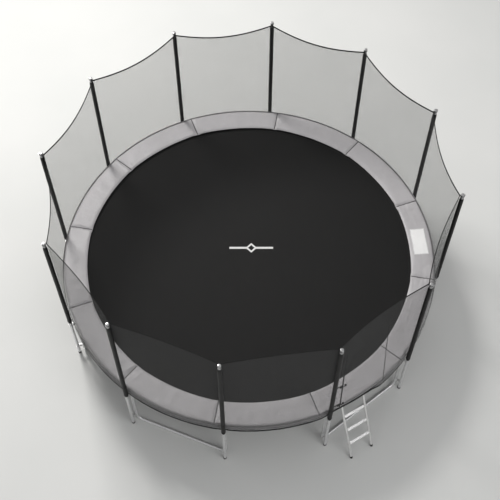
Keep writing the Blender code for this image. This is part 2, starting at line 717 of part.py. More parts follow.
def rung_mesh():
    """A flat-topped step between the two ladder tubes."""
    half = LADDER_WIDTH / 2 - LADDER_TUBE_RADIUS - GAP
    deep, thick = RUNG_DEPTH / 2, RUNG_THICKNESS / 2
    edge = thick / 2
    outline = ((-deep, -thick + edge), (-deep + edge, -thick), (deep - edge, -thick), (deep, -thick + edge),
               (deep, thick - edge), (deep - edge, thick), (-deep + edge, thick), (-deep, thick - edge))
    return mesh_of("ladder_rung", prism(outline, -Y_AXIS * half, X_AXIS, Z_AXIS, Y_AXIS * 2 * half))


def build_ladder(steel):
    """Two side rails and three rungs, under one empty on the ladder's hinge."""
    hinge = bpy.data.objects.new("ladder_hinge", None)
    bpy.context.collection.objects.link(hinge)
    hinge.location = ladder_place().translation
    hinge.rotation_euler.z = ladder_angle()
    rail = ladder_rail_mesh()
    for name, side in (("left", -1), ("right", 1)):
        node(f"ladder_rail_{name}", rail, steel, (0, side * LADDER_WIDTH / 2, 0), parent=hinge)
    foot, meet = ladder_line()
    start = Vector((math.cos(meet), 0, math.sin(meet))) * hook_circle()
    rung = rung_mesh()
    for number, height in enumerate(RUNG_HEIGHTS, 1):
        share = height / (RAIL_HEIGHT + start.z)
        spot = foot.lerp(start, share)
        node(f"ladder_rung_{number}", rung, steel, spot, parent=hinge)


def main():
    for old in list(bpy.data.objects):
        bpy.data.objects.remove(old)
    steel = material("galvanised_steel", (0.55, 0.56, 0.57), 0.38, 0.85)
    foam = material("black_foam_sleeve", (0.012, 0.012, 0.013), 0.75)
    mat = material("black_mat_weave", (0.015, 0.015, 0.016), 0.8)
    spring = material("zinc_spring", (0.6, 0.6, 0.6), 0.3, 0.9)
    pad = material("grey_pad_vinyl", (0.41, 0.40, 0.42), 0.55)
    patch = material("white_patch", (0.75, 0.75, 0.75), 0.6)
    net = material("black_netting", (0.02, 0.02, 0.02), 0.85)
    rope = material("black_rope", (0.015, 0.015, 0.015), 0.8)
    plastic = material("black_plastic", (0.02, 0.02, 0.02), 0.45)
    build_frame(steel, foam)
    build_bed(mat, spring, pad, patch)
    build_enclosure(net, rope, plastic)
    build_ladder(steel)


main()
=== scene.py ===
# %% [markdown]
# # A garden trampoline with a safety net
#
# The imported model holds the structure: tubes, mat, pad, net, door and ladder, each in its
# true place. This lesson dresses it. Every visible piece is rebuilt finely around the
# packed one and gets a finish of its own, and all but the springs ride on the body that
# they belong to.

# %% Load the frame
import json
from math import acos, asin, atan2, cos, exp, hypot, pi, radians, sin, sqrt, tau

import bmesh
import bpy
from mathutils import Matrix, Vector, noise
from mathutils.bvhtree import BVHTree


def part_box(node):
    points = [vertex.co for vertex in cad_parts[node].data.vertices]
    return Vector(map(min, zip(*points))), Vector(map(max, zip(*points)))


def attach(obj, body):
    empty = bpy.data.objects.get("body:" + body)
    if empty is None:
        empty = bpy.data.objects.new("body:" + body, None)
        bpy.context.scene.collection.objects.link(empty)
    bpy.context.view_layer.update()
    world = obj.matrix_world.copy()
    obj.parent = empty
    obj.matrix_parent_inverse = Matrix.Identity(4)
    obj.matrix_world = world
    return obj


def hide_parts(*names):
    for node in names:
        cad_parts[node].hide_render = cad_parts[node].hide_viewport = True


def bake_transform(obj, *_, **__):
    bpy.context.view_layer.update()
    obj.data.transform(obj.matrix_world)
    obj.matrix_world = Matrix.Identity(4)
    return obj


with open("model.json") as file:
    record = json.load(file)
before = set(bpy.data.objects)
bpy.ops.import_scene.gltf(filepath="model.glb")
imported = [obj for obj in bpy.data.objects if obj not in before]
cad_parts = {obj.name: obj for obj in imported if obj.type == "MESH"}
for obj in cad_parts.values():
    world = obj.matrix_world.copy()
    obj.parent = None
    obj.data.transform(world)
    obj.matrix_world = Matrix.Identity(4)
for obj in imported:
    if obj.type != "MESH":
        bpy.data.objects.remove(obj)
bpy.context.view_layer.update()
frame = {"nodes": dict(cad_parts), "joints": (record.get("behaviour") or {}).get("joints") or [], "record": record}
record = frame["record"]
joints = {joint["name"]: joint for joint in frame["joints"]}

# %% [markdown]
# ## Places
#
# Nothing is placed by eye. The twelve pole feet are mounts in the record, the ladder and
# the door have their hinges in the joints, and heights come from the boxes of the packed
# nodes. Sizes that only the looks need, such as a bolt's, are named where they are used.

# %% Read places from the frame
UP = Vector((0, 0, 1))
FEET = [Vector(mount["pos_m"]) for mount in sorted(record["mounts"], key=lambda m: m["name"])]
SECTIONS = len(FEET)
SPAN = tau / SECTIONS
FIRST_ANGLE = atan2(FEET[0].y, FEET[0].x)
ANGLES = [FIRST_ANGLE + tau * k / SECTIONS for k in range(SECTIONS)]
POLE_RING = FEET[0].xy.length
leg_low, leg_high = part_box("leg_upright_01")
LEG_RING = ((leg_low + leg_high) / 2).xy.length
TUBE = 0.021
HINGE = Vector(joints["ladder_swing"]["pos_m"])
RAIL_Z = HINGE.z
POLE_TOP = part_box("enclosure_pole_01")[1].z
BASE_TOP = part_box("leg_base_1")[1].z
PAD_LOW, PAD_HIGH = [corner.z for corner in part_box("safety_pad")]
MAT_RADIUS, _, MAT_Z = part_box("jumping_mat")[1]
NET_LOW, NET_HIGH = [corner.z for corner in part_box("enclosure_net")]
SILL, DOOR_HEAD = [corner.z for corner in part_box("net_door")]
print(f"{SECTIONS} poles at {POLE_RING:.3f} m, rail at {RAIL_Z:.3f} m, pole tops at {POLE_TOP:.3f} m")


def polar(radius, angle, height=0.0):
    """A point from its distance, angle and height."""
    return Vector((radius * cos(angle), radius * sin(angle), height))


def outward(point):
    """Level direction away from the middle."""
    return Vector((point.x, point.y, 0)).normalized()


def sideways(point, sign):
    """Level direction round the ring."""
    return Vector((-point.y, point.x, 0)).normalized() * sign


def smooth(value):
    """An ease from 0 to 1."""
    value = min(1.0, max(0.0, value))
    return value * value * (3 - 2 * value)


def compass(angle):
    """The level directions outwards and round the ring at an angle."""
    return polar(1, angle), polar(1, angle + pi / 2)


def apart(angle, other):
    """The angle between two directions, at most half a turn."""
    return abs((angle - other + pi) % tau - pi)


def shares(count):
    """Even steps from 0 to 1, both ends included."""
    return [i / count for i in range(count + 1)]


def full_turn(count):
    """Even angles round a circle."""
    return [tau * i / count for i in range(count)]


def ripple(*spot):
    """Smooth noise about 0 at a place in space, the same on every run."""
    return noise.noise(Vector(spot))


def cad_points(node):
    """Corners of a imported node."""
    return [vert.co.copy() for vert in frame["nodes"][node].data.vertices]


def add_object(name, data):
    """A new object in the scene."""
    made = bpy.data.objects.new(name, data)
    bpy.context.scene.collection.objects.link(made)
    return made


# %% [markdown]
# ## Shader maths
#
# A finish is a small graph of nodes. Writing it as Python expressions keeps it readable:
# a Wire wraps a socket, and adding or multiplying wires adds the Math nodes. Everything
# else comes from one method that takes a node's type, its settings and its inputs.

# %% Wires and finishes
class Wire:
    """A socket that carries a number, so that sums of wires become Math nodes."""

    def __init__(self, tree, socket):
        self.tree, self.socket = tree, socket

    def maths(self, operation, other=None, swapped=False):
        step = self.tree.nodes.new("ShaderNodeMath")
        step.operation = operation
        values = (other, self) if swapped else (self, other)
        for socket, value in zip(step.inputs, values):
            if isinstance(value, Wire):
                self.tree.links.new(value.socket, socket)
            elif value is not None:
                socket.default_value = value
        return Wire(self.tree, step.outputs[0])

    def __add__(self, other):
        return self.maths("ADD", other)

    def __sub__(self, other):
        return self.maths("SUBTRACT", other)

    def __rsub__(self, other):
        return self.maths("SUBTRACT", other, swapped=True)

    def __mul__(self, other):
        return self.maths("MULTIPLY", other)

    def __lt__(self, other):
        return self.maths("LESS_THAN", other)

    __radd__, __rmul__ = __add__, __mul__

    def wave(self, length):
        """A sine with this wavelength."""
        return (self * (tau / length)).maths("SINE")

    def either(self, other):
        return self.maths("MAXIMUM", other)


class Finish:
    """A material that is being put together around one Principled shader."""

    def __init__(self, name, **sockets):
        self.material = bpy.data.materials.new(name)
        self.material.use_nodes = True
        self.tree = self.material.node_tree
        self.shader = self.tree.nodes["Principled BSDF"]
        self.set(**sockets)

    def feed(self, socket, value):
        if isinstance(value, Wire):
            self.tree.links.new(value.socket, socket)
        else:
            socket.default_value = value

    def set(self, **sockets):
        for name, value in sockets.items():
            self.feed(self.shader.inputs[name.replace("_", " ")], value)

    def node(self, kind, settings=None, inputs=None, output=0):
        made = self.tree.nodes.new(kind)
        for name, value in (settings or {}).items():
            setattr(made, name, value)
        for name, value in (inputs or {}).items():
            self.feed(made.inputs[name], value)
        return Wire(self.tree, made.outputs[output])

    def place(self, stretch=None):
        """Where a point is on the object, in metres, perhaps stretched."""
        where = self.node("ShaderNodeTexCoord", output=3)
        if stretch is None:
            return where
        return self.node("ShaderNodeMapping", inputs={"Vector": where, "Scale": stretch})

    def split(self, vector):
        """A vector's three numbers as wires."""
        parts = self.tree.nodes.new("ShaderNodeSeparateXYZ")
        self.tree.links.new(vector.socket, parts.inputs[0])
        return [Wire(self.tree, output) for output in parts.outputs]

    def cloth_place(self):
        """Where a point is on the flat cloth, in metres, as two wires."""
        return self.split(self.node("ShaderNodeUVMap", {"uv_map": "cloth"}))[:2]

    def axes(self):
        """The object's X, Y and Z as three wires."""
        return self.split(self.place())

    def cloud(self, scale, detail=2.0, stretch=None):
        """Soft noise about 0.5."""
        return self.node("ShaderNodeTexNoise", inputs={
            "Vector": self.place(stretch), "Scale": scale, "Detail": detail})

    def blend(self, factor, first, second):
        """A mix of two colours, each three numbers or a wire."""
        ends = [end if isinstance(end, Wire) else (*end, 1) for end in (first, second)]
        return self.node("ShaderNodeMix", {"data_type": "RGBA"},
                         {0: factor, 6: ends[0], 7: ends[1]}, output=2)

    def bump(self, height, distance, strength=1.0):
        """Raise the surface by height times distance, in metres."""
        self.set(Normal=self.node("ShaderNodeBump", inputs={
            "Height": height, "Distance": distance, "Strength": strength}))


def grey(tone):
    return (tone, tone, tone)


print("shader helpers ready")

# %% [markdown]
# ## Metal finishes
#
# Galvanised tube is a bright grey with soft patches where the zinc has crystallised, and
# with scuffs that are a little rougher. A cell noise makes the patches, and a cloudy noise
# the scuffs. The ladder is a whiter tube, the springs are cleaner, and the caps are darker.

# %% Steel
def steel(name, bright, dull, roughness, metallic):
    finish = Finish(name, Metallic=metallic)
    spangle = finish.node("ShaderNodeTexVoronoi", {"feature": "F1"},
                          {"Vector": finish.place(), "Scale": 90.0})
    scuffs = finish.cloud(22.0, 4.0)
    finish.set(Base_Color=finish.blend(spangle * 0.6 + scuffs * 0.6, dull, bright))
    finish.set(Roughness=scuffs * 0.25 + (roughness - 0.1))
    finish.bump(finish.cloud(160.0, 3.0), 0.0003, 0.5)
    return finish.material


GALVANISED = steel("galvanised_tube", grey(0.88), (0.60, 0.60, 0.61), 0.30, 0.75)
LADDER_STEEL = steel("ladder_tube", (0.88, 0.88, 0.87), grey(0.62), 0.36, 0.6)
SPRING_STEEL = steel("spring_wire", grey(0.78), grey(0.55), 0.28, 0.9)
CAP_STEEL = steel("cap_zinc", grey(0.56), (0.24, 0.24, 0.25), 0.30, 0.9)
BOLT_STEEL = steel("bolt_zinc", (0.74, 0.74, 0.72), grey(0.45), 0.32, 0.9)
print("five metal finishes")

# %% [markdown]
# ## Plastics, foam and rope
#
# The pole sleeves are foam tubes in a thin black skin that creases along its length. The
# plastic of buckles and the rubber of feet have the faint orange-peel of a moulding. Rope
# shows its twist, worked from the cloth coordinates in metres, and webbing its weave,
# worked from the object's coordinates.

# %% Black finishes
def sleeve_skin():
    finish = Finish("sleeve_skin", Specular_IOR_Level=0.22)
    dust = finish.cloud(7.0, 4.0)
    finish.set(Base_Color=finish.blend(dust, grey(0.003), grey(0.010)))
    finish.set(Roughness=dust * 0.25 + 0.34)
    creases = finish.cloud(30.0, 5.0, (1.0, 1.0, 0.16))
    finish.bump(creases, 0.004, 0.7)
    return finish.material


def moulded(name, dark, light, roughness):
    finish = Finish(name)
    wear = finish.cloud(60.0, 3.0)
    finish.set(Base_Color=finish.blend(wear, dark, light), Roughness=wear * 0.2 + roughness)
    finish.bump(finish.cloud(900.0, 1.0), 0.0002, 0.4)
    return finish.material


def webbing(name, dark, light, pitch=0.0016):
    """A narrow plain weave, for straps, tapes and bindings."""
    finish = Finish(name, Roughness=0.75, Specular_IOR_Level=0.25)
    x, y, z = finish.axes()
    weave = (x + y).wave(pitch * 2) * (z + x - y).wave(pitch * 2)
    finish.set(Base_Color=finish.blend(weave * 0.4 + 0.5, dark, light))
    finish.bump(weave, 0.0004, 0.6)
    return finish.material


def twisted_rope():
    finish = Finish("twisted_rope", Roughness=0.7, Specular_IOR_Level=0.25)
    around, along = finish.cloth_place()
    strands = (around * 0.036 + along).wave(0.012)
    finish.set(Base_Color=finish.blend(strands * 0.5 + 0.5, grey(0.002), grey(0.012)))
    finish.bump(strands, 0.0012, 0.9)
    return finish.material


SLEEVE = sleeve_skin()
PLASTIC = moulded("black_moulding", (0.010, 0.010, 0.011), (0.022, 0.022, 0.023), 0.38)
RUBBER = moulded("rubber_foot", grey(0.012), (0.035, 0.034, 0.033), 0.6)
WEBBING = webbing("black_webbing", grey(0.003), grey(0.014))
GREY_BINDING = webbing("grey_binding", (0.10, 0.098, 0.102), (0.19, 0.186, 0.192))
BLACK_NET_TAPE = webbing("net_tape", grey(0.012), grey(0.04))
ROPE = twisted_rope()
print("seven black and grey finishes")

# %% [markdown]
# ## Mat, pad and netting
#
# The mat is woven from flat black yarn, and a plain mark is printed near its middle. The
# pad is grey vinyl with a fine embossed grain. The net is a grid of thin threads, so its
# finish is mostly holes: alpha is full on the threads and almost nothing between them.

# %% Woven mat with its printed mark
MARK_AT = Vector((0.03, 0.10))
MARK_HALF = (0.29, 0.036)


def mat_weave():
    """Woven yarn with a pale bar and a hollow diamond printed on it."""
    finish = Finish("mat_weave", Specular_IOR_Level=0.17)
    x, y, _ = finish.axes()
    yarn = x.wave(0.006) * y.wave(0.006)
    fade = finish.cloud(1.3, 3.0)
    sheen = finish.cloud(26.0, 2.0, (1.0, 0.15, 1.0))
    cloth = finish.blend(fade * 0.5 + sheen * 0.25 + yarn * 0.15 + 0.1, grey(0.002), grey(0.009))
    across, up = (x - MARK_AT.x).maths("ABSOLUTE"), (y - MARK_AT.y).maths("ABSOLUTE")
    bar = (across < MARK_HALF[0]) * (up < MARK_HALF[1] * 0.42)
    diamond = (across + up) < MARK_HALF[1] * 2.1
    core = (across + up) < MARK_HALF[1] * 1.2
    ink = bar.either(diamond) * (1 - core) * (yarn * 0.1 + 0.85)
    finish.set(Base_Color=finish.blend(ink, cloth, grey(0.78)), Roughness=fade * 0.12 + 0.46)
    finish.bump(yarn, 0.0012, 0.5)
    return finish.material


def pad_vinyl(name, dark, light):
    finish = Finish(name)
    tone = finish.cloud(2.2, 4.0)
    grime = finish.cloud(14.0, 6.0)
    finish.set(Base_Color=finish.blend(tone * 0.7 + grime * 0.3, dark, light))
    finish.set(Roughness=grime * 0.2 + 0.36)
    grain = finish.node("ShaderNodeTexVoronoi", {"feature": "DISTANCE_TO_EDGE"},
                        {"Vector": finish.place(), "Scale": 420.0})
    crumple = finish.cloud(9.0, 5.0)
    finish.bump(crumple * 5.0 + grain * 0.15, 0.0022, 0.7)
    return finish.material


def net_threads(name, pitch, thread):
    finish = Finish(name, Roughness=0.7)
    across, along = finish.cloth_place()
    rising = (across + along).maths("PINGPONG", pitch)
    falling = (across - along).maths("PINGPONG", pitch)
    threads = (rising < thread).either(falling < thread)
    knots = finish.cloud(3.0, 3.0)
    finish.set(Base_Color=finish.blend(knots, (0.030, 0.030, 0.030), (0.065, 0.065, 0.066)))
    finish.set(Alpha=threads * 0.93 + 0.04)
    finish.material.surface_render_method = "DITHERED"
    return finish.material


MAT_WEAVE = mat_weave()
PAD_VINYL = pad_vinyl("grey_vinyl", (0.35, 0.340, 0.35), (0.48, 0.468, 0.48))
PATCH_VINYL = pad_vinyl("white_vinyl", grey(0.70), grey(0.88))
NETTING = net_threads("net_threads", 0.0070, 0.0015)
print("mat, vinyl and netting finishes")

# %% [markdown]
# ## Building shapes
#
# Most pieces here are tubes, turned parts, plates or cloth, and all of those are grids of
# points. One class gathers such grids into a mesh, keeps a finish number for each face,
# and stores where each point lies on the flat cloth for the finishes that need it.

# %% The shape maker
class Shape:
    """Grids of points gathered into one mesh."""

    def __init__(self):
        self.points, self.faces, self.finish, self.flat = [], [], [], []

    def grid(self, rows, finish=0, around=True, closed=False, caps=True, flat=None, keep=None):
        """Skin a grid of rows. around joins each row's ends, closed joins the last row to the first."""
        rows = [[Vector(point) for point in row] for row in rows]
        start, wide = len(self.points), len(rows[0])
        self.points += [point for row in rows for point in row]
        steps = len(rows) if closed else len(rows) - 1
        sides = wide if around else wide - 1
        for i in range(steps):
            for j in range(sides):
                if keep is not None and not keep(i, j):
                    continue
                corners = ((i, j), (i, j + 1), (i + 1, j + 1), (i + 1, j))
                self.faces.append([start + (a % len(rows)) * wide + b % wide for a, b in corners])
                self.flat.append([flat(a, b) if flat else (b / sides, a * 0.01) for a, b in corners])
                self.finish.append(finish)
        if around and not closed and caps:
            for row, order in ((0, range(wide - 1, -1, -1)), (len(rows) - 1, range(wide))):
                self.faces.append([start + row * wide + j for j in order])
                self.flat.append([(0.0, 0.0)] * wide)
                self.finish.append(finish)
        return self

    def loop(self, path, radius, sides, finish=0, flat=None):
        """A closed ring of tube along a path."""
        return self.grid(sweep(path, radius, sides, closed=True), finish, closed=True, caps=False, flat=flat)

    def make(self, name, body, slot, finishes, replaces=(), sharp=38, ride=True):
        mesh = bpy.data.meshes.new(name)
        mesh.from_pydata([tuple(point) for point in self.points], [], self.faces)
        mesh.polygons.foreach_set("material_index", self.finish)
        layer = mesh.uv_layers.new(name="cloth")
        layer.data.foreach_set("uv", [value for face in self.flat for spot in face for value in spot])
        for material in finishes:
            mesh.materials.append(material)
        bm = bmesh.new()
        bm.from_mesh(mesh)
        bmesh.ops.delete(bm, geom=[v for v in bm.verts if not v.link_faces], context="VERTS")
        bmesh.ops.recalc_face_normals(bm, faces=bm.faces)
        bm.to_mesh(mesh)
        bm.free()
        mesh.shade_smooth()
        mesh.set_sharp_from_angle(angle=radians(sharp))
        piece = add_object(name, mesh)
        if ride:
            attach(piece, body)
        if replaces:
            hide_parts(*replaces)
        return piece


def sweep(path, radius, sides=12, closed=False):
    """Rings of a tube along a path. radius may be one number or one for each point."""
    path = [Vector(point) for point in path]
    radii = radius if hasattr(radius, "__len__") else [radius] * len(path)
    count = len(path)
    rings, first = [], None
    for i, point in enumerate(path):
        before = path[i - 1] if i or closed else path[i]
        after = path[(i + 1) % count] if i < count - 1 or closed else path[i]
        along = (after - before).normalized()
        if first is None:
            first = UP if abs(along.z) < 0.9 else Vector((1, 0, 0))
        first = (first - along * first.dot(along)).normalized()
        other = along.cross(first)
        rings.append([point + radii[i] * (cos(a) * first + sin(a) * other) for a in full_turn(sides)])
    return rings


def turned(profile, centre, axis=UP, sides=20):
    """Rings of a turned piece, from (radius, distance along the axis) pairs."""
    axis = Vector(axis).normalized()
    side = axis.orthogonal().normalized()
    other = axis.cross(side)
    return [[Vector(centre) + axis * d + r * (cos(a) * side + sin(a) * other)
             for a in full_turn(sides)] for r, d in profile]


def slab(outline, base, first, second, run, chamfer=0.001):
    """A plate with softened edges, from an outline along two directions."""
    middle = Vector((sum(p[0] for p in outline), sum(p[1] for p in outline))) / len(outline)
    depth = run.length
    loops = []
    for shrink, share in ((chamfer, 0), (0, chamfer / depth), (0, 1 - chamfer / depth), (chamfer, 1)):
        loop = []
        for a, b in outline:
            offset = Vector((a, b)) - middle
            spot = middle + offset * (1 - shrink / max(offset.length, chamfer * 2))
            loop.append(base + first * spot.x + second * spot.y + run * share)
        loops.append(loop)
    return loops


def rounded(half_a, half_b, corner, steps=3):
    """Outline of a rectangle with round corners."""
    outline = []
    for sa, sb, start in ((1, 1, 0), (-1, 1, 1), (-1, -1, 2), (1, -1, 3)):
        for i in range(steps + 1):
            a = pi / 2 * (start + i / steps)
            outline.append((sa * (half_a - corner) + corner * cos(a),
                            sb * (half_b - corner) + corner * sin(a)))
    return outline


def bolt(shape, start, end, head=0.0065, finish=0):
    """A hexagon bolt through two points, with washers and a nut."""
    start, end = Vector(start), Vector(end)
    axis = (end - start).normalized()
    long = (end - start).length
    shape.grid(turned([(head * 0.5, 0), (head * 0.5, long)], start, axis, 10), finish)
    for at, out in ((start, -axis), (end, axis)):
        shape.grid(turned([(head * 1.25, 0), (head * 1.25, 0.0012)], at, out, 16), finish)
        shape.grid(turned([(head, 0.0012), (head, 0.0045), (head * 0.85, 0.0055)], at, out, 6), finish)
    return shape


print("shape maker ready")

# %% [markdown]
# ## The frame tubes
#
# Twelve curved rails make the ring. Each has a leg socket welded under it, and pushes into
# the next rail, where a fine step shows. The uprights stand on U-shaped ground tubes. The
# ring's radius is the one at which the ladder's hooks sit, so that they close round it.

# %% Rails, uprights and bases
TURN = Matrix.Rotation(atan2(HINGE.y, HINGE.x), 4, "Z")
LADDER_HALF = max(abs((TURN.inverted() @ p).y) for p in cad_points("ladder_rail_left")) - 0.015
RAIL_RING = hypot(HINGE.xy.length, LADDER_HALF)
SOCKET_LEAD, SOCKET_DROP = 0.085, 0.105
SOCKET = TUBE + 0.0035
BEND = 0.09


def rail(k):
    """A curved tube, drawn in at the end that enters the next, with its leg socket."""
    shape = Shape()
    start, steps = ANGLES[k] - SOCKET_LEAD / LEG_RING, 26
    path = [polar(RAIL_RING, start + SPAN * t, RAIL_Z) for t in shares(steps)]
    shape.grid(sweep(path, [TUBE] * steps + [TUBE - 0.0012], 20))
    foot = polar(LEG_RING, ANGLES[k], RAIL_Z)
    profile = [(TUBE + 0.0004, -SOCKET_DROP), (SOCKET, -SOCKET_DROP), (SOCKET, -TUBE - 0.006),
               (SOCKET + 0.003, -TUBE + 0.004), (SOCKET + 0.001, 0.002)]
    shape.grid(turned(profile, foot, UP, 24))
    low = foot - UP * (SOCKET_DROP - 0.02)
    out = polar(1, ANGLES[k])
    bolt(shape, low + out * SOCKET, low + out * (SOCKET + 0.001), 0.006, 1)
    return shape.make(f"ring_rail_{k + 1:02d}", "frame", "galvanised_steel", [GALVANISED, BOLT_STEEL],
                      [f"top_rail_{k + 1:02d}"])


def upright(k):
    shape = Shape()
    foot = polar(LEG_RING, ANGLES[k])
    low, high = BASE_TOP + 0.0005, leg_high.z
    profile = [(TUBE - 0.004, low), (TUBE, low), (TUBE, high - 0.003), (TUBE - 0.003, high)]
    shape.grid(turned(profile, foot, UP, 24))
    return shape.make(f"leg_tube_{k + 1:02d}", "frame", "galvanised_steel", [GALVANISED],
                      [f"leg_upright_{k + 1:02d}"])


def ground_tube(index):
    """A U from one upright's foot, along the ground, and up to its neighbour's."""
    first = 2 * index
    ends = [polar(LEG_RING, ANGLES[k % SECTIONS]) for k in (first, first + 1)]
    along = (ends[1] - ends[0]).normalized()
    half = [(0, BASE_TOP), (0, BASE_TOP - 0.05)]
    half += [(BEND * (1 - cos(pi / 2 * t)), TUBE + BEND * (1 - sin(pi / 2 * t))) for t in shares(8)]
    path = [ends[0] + along * d + UP * z for d, z in half]
    path += [ends[1] - along * d + UP * z for d, z in reversed(half)]
    shape = Shape().grid(sweep(path, TUBE, 20))
    for end in ends:
        collar = [(TUBE, -0.046), (TUBE + 0.0016, -0.042), (TUBE + 0.0016, -0.002), (TUBE, 0)]
        shape.grid(turned(collar, end + UP * BASE_TOP, UP, 24))
        out = end.normalized()
        spot = end + UP * (BASE_TOP - 0.022) + out * (TUBE + 0.001)
        shape.grid(turned([(0.0055, 0), (0.0055, 0.002), (0.003, 0.0035)], spot, out, 12), 1)
    return shape.make(f"ground_tube_{index + 1}", "frame", "galvanised_steel", [GALVANISED, BOLT_STEEL],
                      [f"leg_base_{index + 1}"])


for k in range(SECTIONS):
    rail(k)
    upright(k)
for index in range(SECTIONS // 2):
    ground_tube(index)
print(f"ring of {RAIL_RING:.4f} m, {SECTIONS} legs")

# %% [markdown]
# ## Enclosure poles
#
# Each pole stands outside a leg, held by two clamps. A foam sleeve covers it from the pad
# up, and a metal cap with a flat tab holds the net's rope. The sleeve is a grid of rings
# whose skin is pushed in and out by noise, so that it creases as a real one does.

# %% Poles, caps, feet and clamps
POLE_TUBE = 0.019
SLEEVE_LOW, SLEEVE_HIGH = RAIL_Z - 0.093, POLE_TOP - 0.070
SLEEVE_SKIN, SLEEVE_TUCK = 0.0268, 0.0045
CLAMP_HEIGHTS = (0.180, RAIL_Z - 0.165)
CLAMP_TALL, CLAMP_WALL, CLAMP_FIT = 0.042, 0.0032, 0.0006
CLAMP_WAIST, CLAMP_OPENING = 0.0045, 0.12


def clamp(shape, k, height):
    """Two shaped plates round the pole and the leg, drawn together by a bolt between them."""
    out, across = compass(ANGLES[k])
    base = UP * (height - CLAMP_TALL / 2)
    for side in (-1, 1):
        loops = []
        for extra in (CLAMP_FIT, CLAMP_WALL):
            line, reach = [], TUBE + extra
            bow = pi - asin((CLAMP_WAIST + extra - CLAMP_FIT) / reach) - CLAMP_OPENING
            for centre, sign in ((POLE_RING, 1), (LEG_RING, -1)):
                arc = [CLAMP_OPENING + bow * t for t in shares(10)]
                line += [(centre + sign * reach * cos(a), reach * sin(a)) for a in arc][::sign]
            loops.append(line)
        outline = loops[0] + loops[1][::-1]
        shape.grid([[base + out * a + across * side * b + UP * z for a, b in outline]
                    for z in (0, CLAMP_TALL)])
    middle = out * ((POLE_RING + LEG_RING) / 2) + UP * height
    bolt(shape, middle - across * 0.009, middle + across * 0.009, 0.0075, 1)


def pole(k):
    """The tube with its clamps, the metal cap, and the rubber foot."""
    foot = FEET[k]
    out, across = compass(ANGLES[k])
    shape = Shape()
    shape.grid(turned([(POLE_TUBE, 0.012), (POLE_TUBE, SLEEVE_HIGH + 0.045),
                       (POLE_TUBE - 0.002, SLEEVE_HIGH + 0.047)], foot, UP, 24))
    for height in CLAMP_HEIGHTS:
        clamp(shape, k, height)
    shape.make(f"pole_tube_{k + 1:02d}", "frame", "galvanised_steel", [GALVANISED, BOLT_STEEL],
               [f"enclosure_pole_{k + 1:02d}"])
    cap = Shape()
    top = foot + UP * SLEEVE_HIGH
    tall = POLE_TOP - SLEEVE_HIGH
    cap.grid(turned([(POLE_TUBE + 0.0004, 0.002), (0.0208, 0.002), (0.0208, tall - 0.003),
                     (0.0198, tall - 0.001), (0.018, tall), (0.0, tall)], top, UP, 24))
    tab = [(0.0, 0.0), (0.0285, -0.004), (0.0285, -0.007), (0.0265, -0.007), (0.0255, -0.0065),
           (0.0, -0.0025)]
    cap.grid(slab(tab, top + UP * (tall - 0.004) - across * 0.010, out, UP, across * 0.020, 0.0008))
    plate = rounded(0.010, 0.016, 0.004)
    cap.grid(slab(plate, top + UP * (tall - 0.026) + out * 0.0205, across, UP, out * 0.0025, 0.0006))
    spot = top + UP * (tall - 0.030)
    bolt(cap, spot - out * 0.0205, spot + out * 0.0225, 0.0045, 1)
    cap.make(f"pole_cap_{k + 1:02d}", "frame", "galvanised_steel", [CAP_STEEL, BOLT_STEEL])
    shoe = Shape()
    shoe.grid(turned([(0.0185, 0.0004), (0.0208, 0.003), (0.0212, 0.026), (0.0198, 0.030),
                      (POLE_TUBE + 0.0003, 0.030)], foot, UP, 24))
    shoe.make(f"pole_foot_{k + 1:02d}", "frame", "black_plastic", [RUBBER])


def foam_sleeve(k):
    """Foam in a thin skin, creased, and tucked in at both ends."""
    foot, rings = FEET[k], 90
    rows = []
    for i in range(rings + 1):
        z = SLEEVE_LOW + (SLEEVE_HIGH - SLEEVE_LOW) * i / rings
        tuck = SLEEVE_TUCK * max(0.0, 1 - min(i, rings - i) / 2)
        row = []
        for a in full_turn(20):
            spot = Vector((cos(a) * 0.9, sin(a) * 0.9, z * 6.0 + k * 7.3))
            r = SLEEVE_SKIN - tuck + 0.0012 * noise.noise(spot) + 0.0005 * noise.noise(spot * 3.7)
            row.append(foot + polar(r, a, z))
        rows.append(row)
    piece = Shape().grid(rows, 0, flat=lambda a, b: (b * 0.0085, a * 0.02)).make(
        f"foam_sleeve_{k + 1:02d}", "frame", "foam_sleeve", [SLEEVE])
    return piece


for k in range(SECTIONS):
    pole(k)
    foam_sleeve(k)
print(f"{SECTIONS} poles, sleeves from {SLEEVE_LOW:.3f} to {SLEEVE_HIGH:.3f} m")

# %% [markdown]
# ## The ladder's room
#
# Two ladder tubes hang from the rail under the pad and swing out. The pad's skirt and the
# net's hem are gathered up over them, so both edges rise smoothly there.

# %% Edges that rise over the ladder
LADDER_ANGLE = atan2(HINGE.y, HINGE.x)
HOOK_AT = [LADDER_ANGLE + side * asin(LADDER_HALF / RAIL_RING) for side in (-1, 1)]


def by_hook(angle):
    """1 beside a hook of the ladder, 0 away from both."""
    off = min(apart(angle, hook) for hook in HOOK_AT) * LEG_RING
    return 1 - smooth((off - 0.024) / 0.05)


def over_ladder(angle):
    """1 over the ladder, 0 away from it."""
    off = apart(angle, LADDER_ANGLE) * LEG_RING
    return 1 - smooth((off - LADDER_HALF - 0.030) / 0.26)


def wrinkle(angle, height, size, seed=0.0):
    """Cloth waves along the rim, the same on every run."""
    spot = Vector((cos(angle), sin(angle), height * 0.4 + seed)) * size
    return noise.noise(spot) + 0.5 * noise.noise(spot * 2.3)


print(f"ladder tubes at {HOOK_AT[0]:.3f} and {HOOK_AT[1]:.3f} rad round the rim")

# %% [markdown]
# ## The safety pad
#
# The pad is twelve vinyl sections, sewn end to end into a ring with a nearly round edge.
# One section is built thin and then blown up by a cloth simulation with its seams held,
# which gives the crowned top and the puckers at the seams. The result is copied round the
# ring, and each copy is crumpled in its own way.

